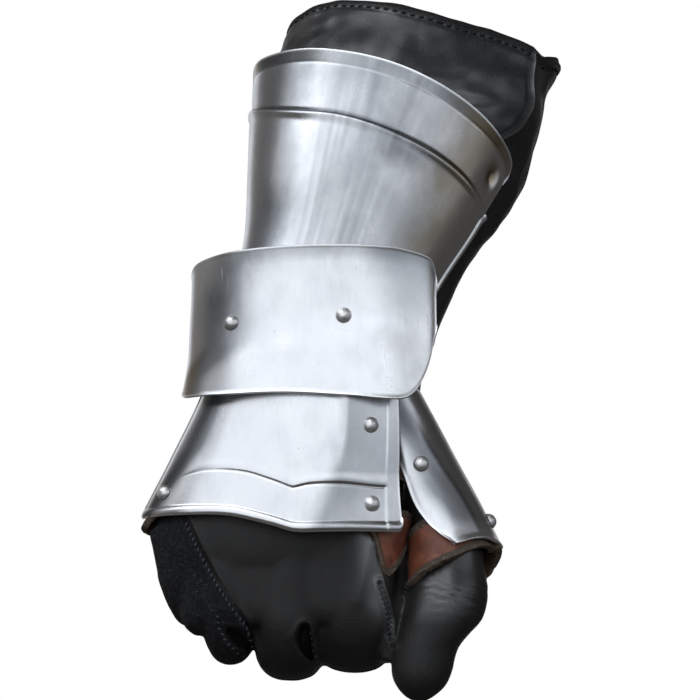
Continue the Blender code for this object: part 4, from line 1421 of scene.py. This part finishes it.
def sculpt_hand(bm):
    """Seams, the gaps between fingers, folds and soft unevenness. Adds what the leather's material reads."""
    bm.verts.ensure_lookup_table()
    bm.normal_update()
    points = np.array([vert.co for vert in bm.verts])
    normals = np.array([vert.normal for vert in bm.verts])
    x, y, z = points.T
    front = soft_step(0.0, -3.0, y)
    suede = suede_mask(points)

    rise = 0.45 + 0.3 * noise_over(points, 17.0, 1.0)
    rise += 0.12 * noise_over(points, 5.0, 2.0) * (0.4 + suede)
    rise += 0.25 * noise_over(points, 9.0, 6.0, (1.0, 1.0, 0.5)) * (1.0 - suede)

    # Line, height, offset and width of the ridge beside it, and depth and width of the groove along it
    for line, ridge, beside, ridge_width, groove, groove_width in (
        (SUEDE_SEAM, 1.1, 1.8, 1.1, 0.8, 0.9),
        (RING_FORK, 0.7, 1.3, 1.0, 0.4, 0.8),
        (INDEX_SEAM, 0.8, 1.3, 0.9, 0.9, 0.8),
        (MIDDLE_SEAM, 0.6, 0.0, 1.2, 0.0, 1.0),
        (INDEX_FOLD, 0.8, 0.0, 3.2, 0.0, 1.0),
    ):
        near, _ = line_distance(points, line)
        rise += front * (ridge * bells(near, beside, ridge_width) - groove * bells(near, 0.0, groove_width))
    near, _ = line_distance(points, SUEDE_SEAM)
    rise += front * 0.35 * bells(near, 0.0, 3.0) * noise_over(points, 2.0, 9.0)

    # Wrinkles across the thumb
    on_thumb = soft_step(27.0, 31.0, x) * soft_step(-96.0, -104.0, z)
    across = z + 0.3 * x + 3.5 * noise_over(points, 7.0, 3.0)
    where = bells(z, -113.0, 9.0) * np.clip(0.2 + 1.2 * noise_over(points, 8.0, 4.0), 0.0, 1.0)
    rise += on_thumb * where * 0.3 * np.sin(across * 1.9)

    inside, lips = finger_gaps(points, front)
    moved = points + normals * rise[:, None]
    moved[:, 1] += 6.0 * inside - 0.75 * lips

    # The side of the index finger and the top of the thumb are polished by wear
    index = bells(x + 0.1 * (z + 96.0), 18.0, 5.0)
    index *= soft_step(-128.0, -118.0, z) * front
    thumb = soft_step(26.0, 31.0, x) * soft_step(-124.0, -112.0, z)
    thumb *= soft_step(62.0, 50.0, x - 0.35 * (z + 110.0))
    worn = np.maximum(index, 0.55 * thumb)

    # painted_gap_shade marks the gaps between the fingers, which the material paints near black as shade
    for name, values in (("suede", suede), ("painted_gap_shade", inside), ("worn", worn)):
        layer = bm.verts.layers.float.new(name)
        for vert, value in zip(bm.verts, values):
            vert[layer] = value
    for vert, co in zip(bm.verts, moved):
        vert.co = co


def finger_gaps(points, front):
    """Where the leather goes straight back into the gaps between fingers, and the lips round those gaps."""
    hole, along = line_distance(points, RING_HOLE)
    hole /= 0.4 + 2.6 * np.sin(np.clip(along, 0.0, 1.0) * math.pi) ** 0.7
    slit, along = line_distance(points, MIDDLE_SLIT)
    slit /= 0.4 + 2.3 * np.sin(np.clip(along * 0.8 + 0.15, 0.0, 1.0) * math.pi) ** 0.7
    inside = front * np.maximum(soft_step(1.15, 0.55, hole), soft_step(1.2, 0.6, slit))
    lips = front * np.maximum(bells(hole, 1.5, 0.35), bells(slit, 1.6, 0.4))
    return inside, lips


def build_hand():
    """The hand with its thumb and fingers: an outer skin and an inner one, joined round the open wrist."""
    skin = fused(hand_forms(0.0), 1.0, 6)
    top = glove_ring(CUFF_SPLIT + 1.0)
    for vert in skin.verts:
        # The hand's leather goes in under the cuff's
        depth = ease(-8.0, -2.0, vert.co.z)
        centre = Vector(read(GLOVE_ROWS, min(vert.co.z, 8.0))[:3])
        inward = Vector((vert.co.x - centre.x, vert.co.y - centre.y, 0.0))
        if depth and inward.length > 0.1:
            vert.co -= inward.normalized() * HAND_TUCK * depth
    sculpt_hand(skin)
    cut_open(skin, top)
    lining = fused(hand_forms(GLOVE_WALL + 0.6), 3.0, 2)
    for vert in lining.verts:
        # Cleared away behind the gaps between the fingers
        hole = min((Vector((x, z)) - vert.co.xz).length for x, z in RING_HOLE + MIDDLE_SLIT)
        if vert.co.y < 2.0:
            vert.co.y += 9.0 * ease(8.0, 4.5, hole)
    bmesh.ops.reverse_faces(lining, faces=lining.faces)
    cut_open(lining, top)
    merge(skin, lining)
    open_edges = [edge for edge in skin.edges if edge.is_boundary]
    bmesh.ops.bridge_loops(skin, edges=open_edges)
    bmesh.ops.triangulate(skin, faces=[face for face in skin.faces if len(face.verts) > 4])
    bmesh.ops.scale(skin, vec=(MM, MM, MM), verts=skin.verts)
    hand = add_object("glove_hand_leather", skin, [MATERIALS["glove leather"]], 80.0)
    nodes = ["glove_wrist", "glove_hand", "glove_thumb"] + [f"glove_{finger[0]}" for finger in FINGERS]
    return finished(hand, "black_leather", *nodes)


# ---------------------------------------------------------------- glove cuff

HEM_DEPTH = 4.2  # from the hem's fold to its stitching
HEM_STITCH_STEP = 3.8
HEM_HEIGHT = GLOVE_CUFF_ROWS[-1][0]
SEAM_COLUMN = 47.57  # angle of the column of leather that runs along the side seam
# Angle, how much the hem rises towards its inner corner, where the seam is
HEM_CORNER = [
    (-180.0, 0.0),
    (20.0, 0.0),
    (38.0, -0.3),
    (50.0, -1.4),
    (57.0, -1.4),
    (63.0, 0.8),
    (70.0, 3.4),
    (78.0, 4.9),
    (86.0, 5.4),
    (96.0, 5.1),
    (112.0, 3.8),
    (135.0, 1.6),
    (160.0, 0.0),
    (180.0, 0.0),
]
# Height, angle
SIDE_SEAM = [
    (88.0, 34.0),
    (95.3, 41.0),
    (101.9, 46.5),
    (109.6, 50.0),
    (116.5, 49.8),
    (123.3, 46.6),
    (142.0, 42.6),
]


def cuff_point(angle, height, outward):
    """A point of the cuff's leather."""
    turn = math.radians(angle)
    return glove_ring(height, outward) @ Vector((math.sin(turn), -math.cos(turn), 0.0))


def hem_height(angle):
    """The hem rises a little at its outer and inner corners."""
    turned = wrapped(angle)
    outer = 3.9 * bell(turned, -50.0, 36.0) + 3.6 * bell(turned, -80.0, 36.0)
    return HEM_HEIGHT + outer + read(HEM_CORNER, turned)[0] - 0.9 * bell(turned, 10.0, 35.0)


def side_seam(height):
    """The angle of the side seam, which goes on straight down from its lower end."""
    return read(SIDE_SEAM, max(height, SIDE_SEAM[0][0]))[0]


def cuff_rise(angle, height):
    """How far the cuff's leather stands out, in millimetres: its hem, its side seam and its soft folds."""
    above = hem_height(angle) - height
    hem = 0.6 * ease(HEM_DEPTH + 0.6, HEM_DEPTH - 0.6, above) - 1.1 * bell(above, HEM_DEPTH, 1.0)
    hem -= 2.2 * ease(HEM_DEPTH - 0.5, 0.0, above) ** 2
    turned = wrapped(angle)
    seam = 0.0
    if height > SIDE_SEAM[0][0]:
        past = turned - side_seam(height)
        seam = (0.9 * bell(past, 0.0, 0.8) - 0.5 * bell(past, -2.3, 1.1)) * ease(2.0, 4.0, above)
        # The leather folds over at the seam
        seam += 2.8 * math.exp(-abs(past) / 13.0) * ease(88.0, 102.0, height)
        seam -= 1.2 * ease(2.0, 30.0, past) * ease(130.0, 70.0, past) * bell(height, 114.0, 14.0)
    body = Vector((math.sin(math.radians(angle)) * 55.0, math.cos(math.radians(angle)) * 33.0, height))
    folds = 2.6 * noise.noise(body / 25.0 + Vector((3.1, 0.0, 0.0))) + 0.8 * noise.noise(body / 8.0)
    across = noise_at((turned + 1.1 * height) / 34.0, (height - 0.45 * turned) / 7.5, 6.0)
    folds += 1.2 * (0.5 - abs(across)) * bell(height, 104.0, 16.0) * bell(turned, 24.0, 22.0)
    corner = -2.6 * bell(turned, 86.0, 20.0) * bell(height, 129.0, 10.0)
    loose = ease(20.0, 70.0, height)
    lap = 0.35 * ease(12.0, 6.0, height)
    return hem + seam + lap + corner + loose * (0.8 * folds + 0.2)


def follow_seam(angle, height):
    """The angle of a column of the cuff's leather: near the side seam the columns lean along with it."""
    return angle + (side_seam(height) - SEAM_COLUMN) * bell(wrapped(angle), SEAM_COLUMN, 26.0)


def cuff_wear(angle, height):
    """How much the cuff's leather shines: in soft patches on the front, and hardly past its side seam."""
    turned = wrapped(angle)
    past = turned - side_seam(height)
    patches = noise_at(turned / 26.0, height / 22.0, 4.0) + 0.6 * noise_at(turned / 8.0, height / 9.0, 1.0)
    front = 0.8 * min(max(0.6 + 0.75 * patches, 0.12), 1.0) * (0.3 + 0.7 * ease(-4.0, -24.0, past))
    front = 0.35 + (front - 0.35) * ease(-130.0, -60.0, turned)
    if turned > 90.0:  # round on the palm's side it comes back to the sheen of the outer side
        front = 0.35 * ease(90.0, 130.0, turned)
        past = min(past, -3.0 + 200.0 * ease(130.0, 90.0, turned))
    side = 0.6 * bell(past, 9.0, 6.0) * ease(106.0, 122.0, height) + bell(past, 0.0, 0.9)
    above = hem_height(angle) - height
    return (front * ease(-1.0, -4.0, past) + side) * ease(HEM_DEPTH - 1.0, HEM_DEPTH + 0.4, above)


def build_cuff():
    bm = bmesh.new()
    bmesh.ops.create_grid(bm, x_segments=280, y_segments=112, size=0.5)
    worn = bm.verts.layers.float.new("worn")
    start = CUFF_SPLIT - CUFF_LAP
    for vert in bm.verts:
        angle = 360.0 * (vert.co.x + 0.5) + 180.0
        height = start + (hem_height(angle) - start) * (vert.co.y + 0.5)
        angle = follow_seam(angle, height)
        vert.co = cuff_point(angle, height, cuff_rise(angle, height)) * MM
        vert[worn] = cuff_wear(angle, height)
    bmesh.ops.remove_doubles(bm, verts=bm.verts, dist=0.00001)
    bmesh.ops.recalc_face_normals(bm, faces=bm.faces)
    cuff = add_object("glove_cuff_leather", bm, [MATERIALS["cuff leather"]])
    add_wall(cuff, GLOVE_WALL, 0.4)
    return finished(cuff, "black_leather", "glove_cuff")


# ---------------------------------------------------------------- stitches


def add_stitch(bm, middle, along, out, length, radius):
    """A short thread lying on the leather, its ends dipping in."""
    side = along.cross(out).normalized()
    out = side.cross(along).normalized()
    turned = Matrix((along.normalized(), side, out)).transposed().to_4x4()
    place = Matrix.Translation(middle) @ turned @ Matrix.Diagonal((length / 2, radius, radius, 1.0))
    bmesh.ops.create_icosphere(bm, subdivisions=1, radius=1.0, matrix=place)


def seam_points(line, step):
    """Points evenly spaced along a line of (x, z) points."""
    ends = [Vector(point) for point in line]
    lengths = [(b - a).length for a, b in zip(ends, ends[1:])]
    count = int(sum(lengths) / step)
    found = []
    for i in range(count + 1):
        left = i * step
        for start, end, length in zip(ends, ends[1:], lengths):
            if left <= length:
                found.append(start.lerp(end, left / length))
                break
            left -= length
    return found


def sew_on_hand(bm, tree, line, step, length, radius, offset=0.0, slant=0.0):
    """Stitches along a line on the back of the hand, found by looking at it from the front."""
    points = seam_points(line, step)
    for before, here, after in zip(points, points[1:], points[2:]):
        run = (after - before).normalized()
        side = Vector((run.y, -run.x))
        spot = here + side * offset
        place, normal, _, _ = tree.ray_cast(Vector((spot.x, -80.0, spot.y)) * MM, Vector((0.0, 1.0, 0.0)))
        if place is None:
            continue
        lean = run + side * slant
        along = Vector((lean.x, 0.0, lean.y)).normalized()
        along = (along - normal * along.dot(normal)).normalized()
        add_stitch(bm, place / MM, along, normal, length, radius)


def build_stitches(hand):
    tree = BVHTree.FromObject(hand, bpy.context.evaluated_depsgraph_get())
    bm = bmesh.new()
    # Line, step, length, radius, offset to the line's side, and slant: its way sideways for 1 along the line
    for line, step, length, radius, offset, slant in (
        (SUEDE_SEAM[1:], 2.3, 2.5, 0.5, 0.9, 1.3),
        (RING_FORK, 2.2, 2.1, 0.45, 0.9, -1.1),
        (INDEX_SEAM, 2.0, 1.9, 0.42, 0.7, 0.9),
        (INDEX_SEAM, 2.0, 1.9, 0.42, -0.7, -0.9),
        (MIDDLE_SEAM[1:], 2.2, 1.4, 0.3, 0.9, 0.4),
    ):
        sew_on_hand(bm, tree, line, step, length, radius, offset, slant)
    bmesh.ops.scale(bm, vec=(MM, MM, MM), verts=bm.verts)
    finished(add_object("glove_hand_stitches", bm, [MATERIALS["black thread"]], 80.0), "black_leather")

    bm = bmesh.new()
    angle = 0.0
    while angle < 360.0:
        height = hem_height(angle) - HEM_DEPTH
        rise = cuff_rise(angle, height)
        middle = cuff_point(angle, height, rise + 0.25)
        ahead = cuff_point(angle + 0.5, height, rise + 0.25) - middle  # half a degree further on
        outward = cuff_point(angle, height, rise + 1.0) - middle
        add_stitch(bm, middle, ahead, outward, 3.0, 0.65)
        angle += HEM_STITCH_STEP * 0.5 / ahead.length
    bmesh.ops.scale(bm, vec=(MM, MM, MM), verts=bm.verts)
    finished(add_object("glove_hem_stitches", bm, [MATERIALS["dark thread"]], 80.0), "black_leather")


# ---------------------------------------------------------------- studio

# In metres and degrees, like all that stands in the studio
CAMERA_TARGET = (0.0083, 0.0, -0.0084)
CAMERA_DISTANCE = 1.08
CAMERA_ELEVATION = -10.0
FLOOR_HEIGHT = -0.42
COOL = (0.9, 0.945, 1.0)
# Name, bearing, elevation, distance, width, height, brightness, colour
SOFTBOXES = [
    ("front softbox", -20.0, 10.0, 1.9, 2.35, 2.2, 1.37, COOL),
    ("upper softbox", -35.0, 50.0, 1.9, 2.2, 0.9, 2.5, COOL),
    ("left softbox", -66.0, 35.0, 1.9, 1.1, 0.7, 1.3, COOL),
    ("right softbox", 46.0, 18.0, 1.9, 2.7, 0.58, 1.4, COOL),
    ("right fill", 42.0, -3.0, 1.9, 2.3, 0.7, 0.6, (0.8, 0.89, 1.0)),
    ("left fill", -108.0, 15.0, 1.9, 2.8, 2.4, 0.17, (1.0, 0.97, 0.94)),
    ("left rear strip", -150.0, 12.0, 1.9, 0.75, 1.3, 0.75, COOL),
    ("right rear strip", 158.0, 15.0, 1.9, 0.4, 1.2, 0.4, COOL),
    ("rear softbox", 180.0, 8.0, 2.2, 2.4, 2.0, 0.3, COOL),
]


def look_at(obj, target):
    obj.rotation_euler = (Vector(target) - obj.location).to_track_quat("-Z", "Y").to_euler()


def at_bearing(bearing, elevation, distance):
    """A place round the model: bearing 0 is in front of it and 90 on its right."""
    turn, rise = math.radians(bearing), math.radians(elevation)
    level = math.cos(rise)
    return Vector((math.sin(turn) * level, -math.cos(turn) * level, math.sin(rise))) * distance


def add_light(name, location, width, height, brightness, colour):
    """A softbox. Its brightness is what a mirror would show of it, where 1 is white."""
    light = bpy.data.lights.new(name, "AREA")
    light.shape = "RECTANGLE"
    light.size = width
    light.size_y = height
    light.energy = brightness * math.pi * width * height
    light.color = colour
    obj = bpy.data.objects.new(name, light)
    obj.location = location
    bpy.context.scene.collection.objects.link(obj)
    look_at(obj, (0.0, 0.0, 0.0))


def build_studio():
    scene = bpy.context.scene
    camera = bpy.data.objects.new("camera", bpy.data.cameras.new("camera"))
    camera.data.lens = 135.0
    camera.data.sensor_width = 36.0
    camera.location = Vector(CAMERA_TARGET) + at_bearing(0.0, CAMERA_ELEVATION, CAMERA_DISTANCE)
    scene.collection.objects.link(camera)
    look_at(camera, CAMERA_TARGET)
    scene.camera = camera

    floor_mesh = bmesh.new()
    bmesh.ops.create_grid(floor_mesh, x_segments=1, y_segments=1, size=4.0)
    bmesh.ops.translate(floor_mesh, vec=(0.0, 0.0, FLOOR_HEIGHT), verts=floor_mesh.verts)
    pale = Finish("pale floor", emission_color=(0.5, 0.5, 0.5, 1.0), emission_strength=1.0)
    floor = add_object("floor", floor_mesh, [pale.finish((0.62, 0.61, 0.59, 1.0), 0.9)])
    floor.visible_glossy = False  # the model reflects a dim room below it
    floor.visible_diffuse = False

    world = bpy.data.worlds.new("studio")
    world.use_nodes = True
    scene.world = world
    tree = world.node_tree
    surroundings = tree.nodes["Background"]
    backdrop = tree.nodes.new("ShaderNodeBackground")
    for node, colour in ((surroundings, (0.085, 0.08, 0.076, 1.0)), (backdrop, (1.0, 1.0, 1.0, 1.0))):
        node.inputs["Color"].default_value = colour
        node.inputs["Strength"].default_value = 1.0
    seen = tree.nodes.new("ShaderNodeLightPath")
    mix = tree.nodes.new("ShaderNodeMixShader")
    tree.links.new(seen.outputs["Is Camera Ray"], mix.inputs["Fac"])
    tree.links.new(surroundings.outputs["Background"], mix.inputs[1])
    tree.links.new(backdrop.outputs["Background"], mix.inputs[2])
    tree.links.new(mix.outputs["Shader"], tree.nodes["World Output"].inputs["Surface"])

    for name, bearing, elevation, distance, *size_and_light in SOFTBOXES:
        add_light(name, at_bearing(bearing, elevation, distance), *size_and_light)
    scene.view_settings.view_transform = "Standard"


def main():
    build_plates()
    build_rivets()
    build_leathers()
    hand = build_hand()
    build_cuff()
    build_stitches(hand)
    build_studio()


main()
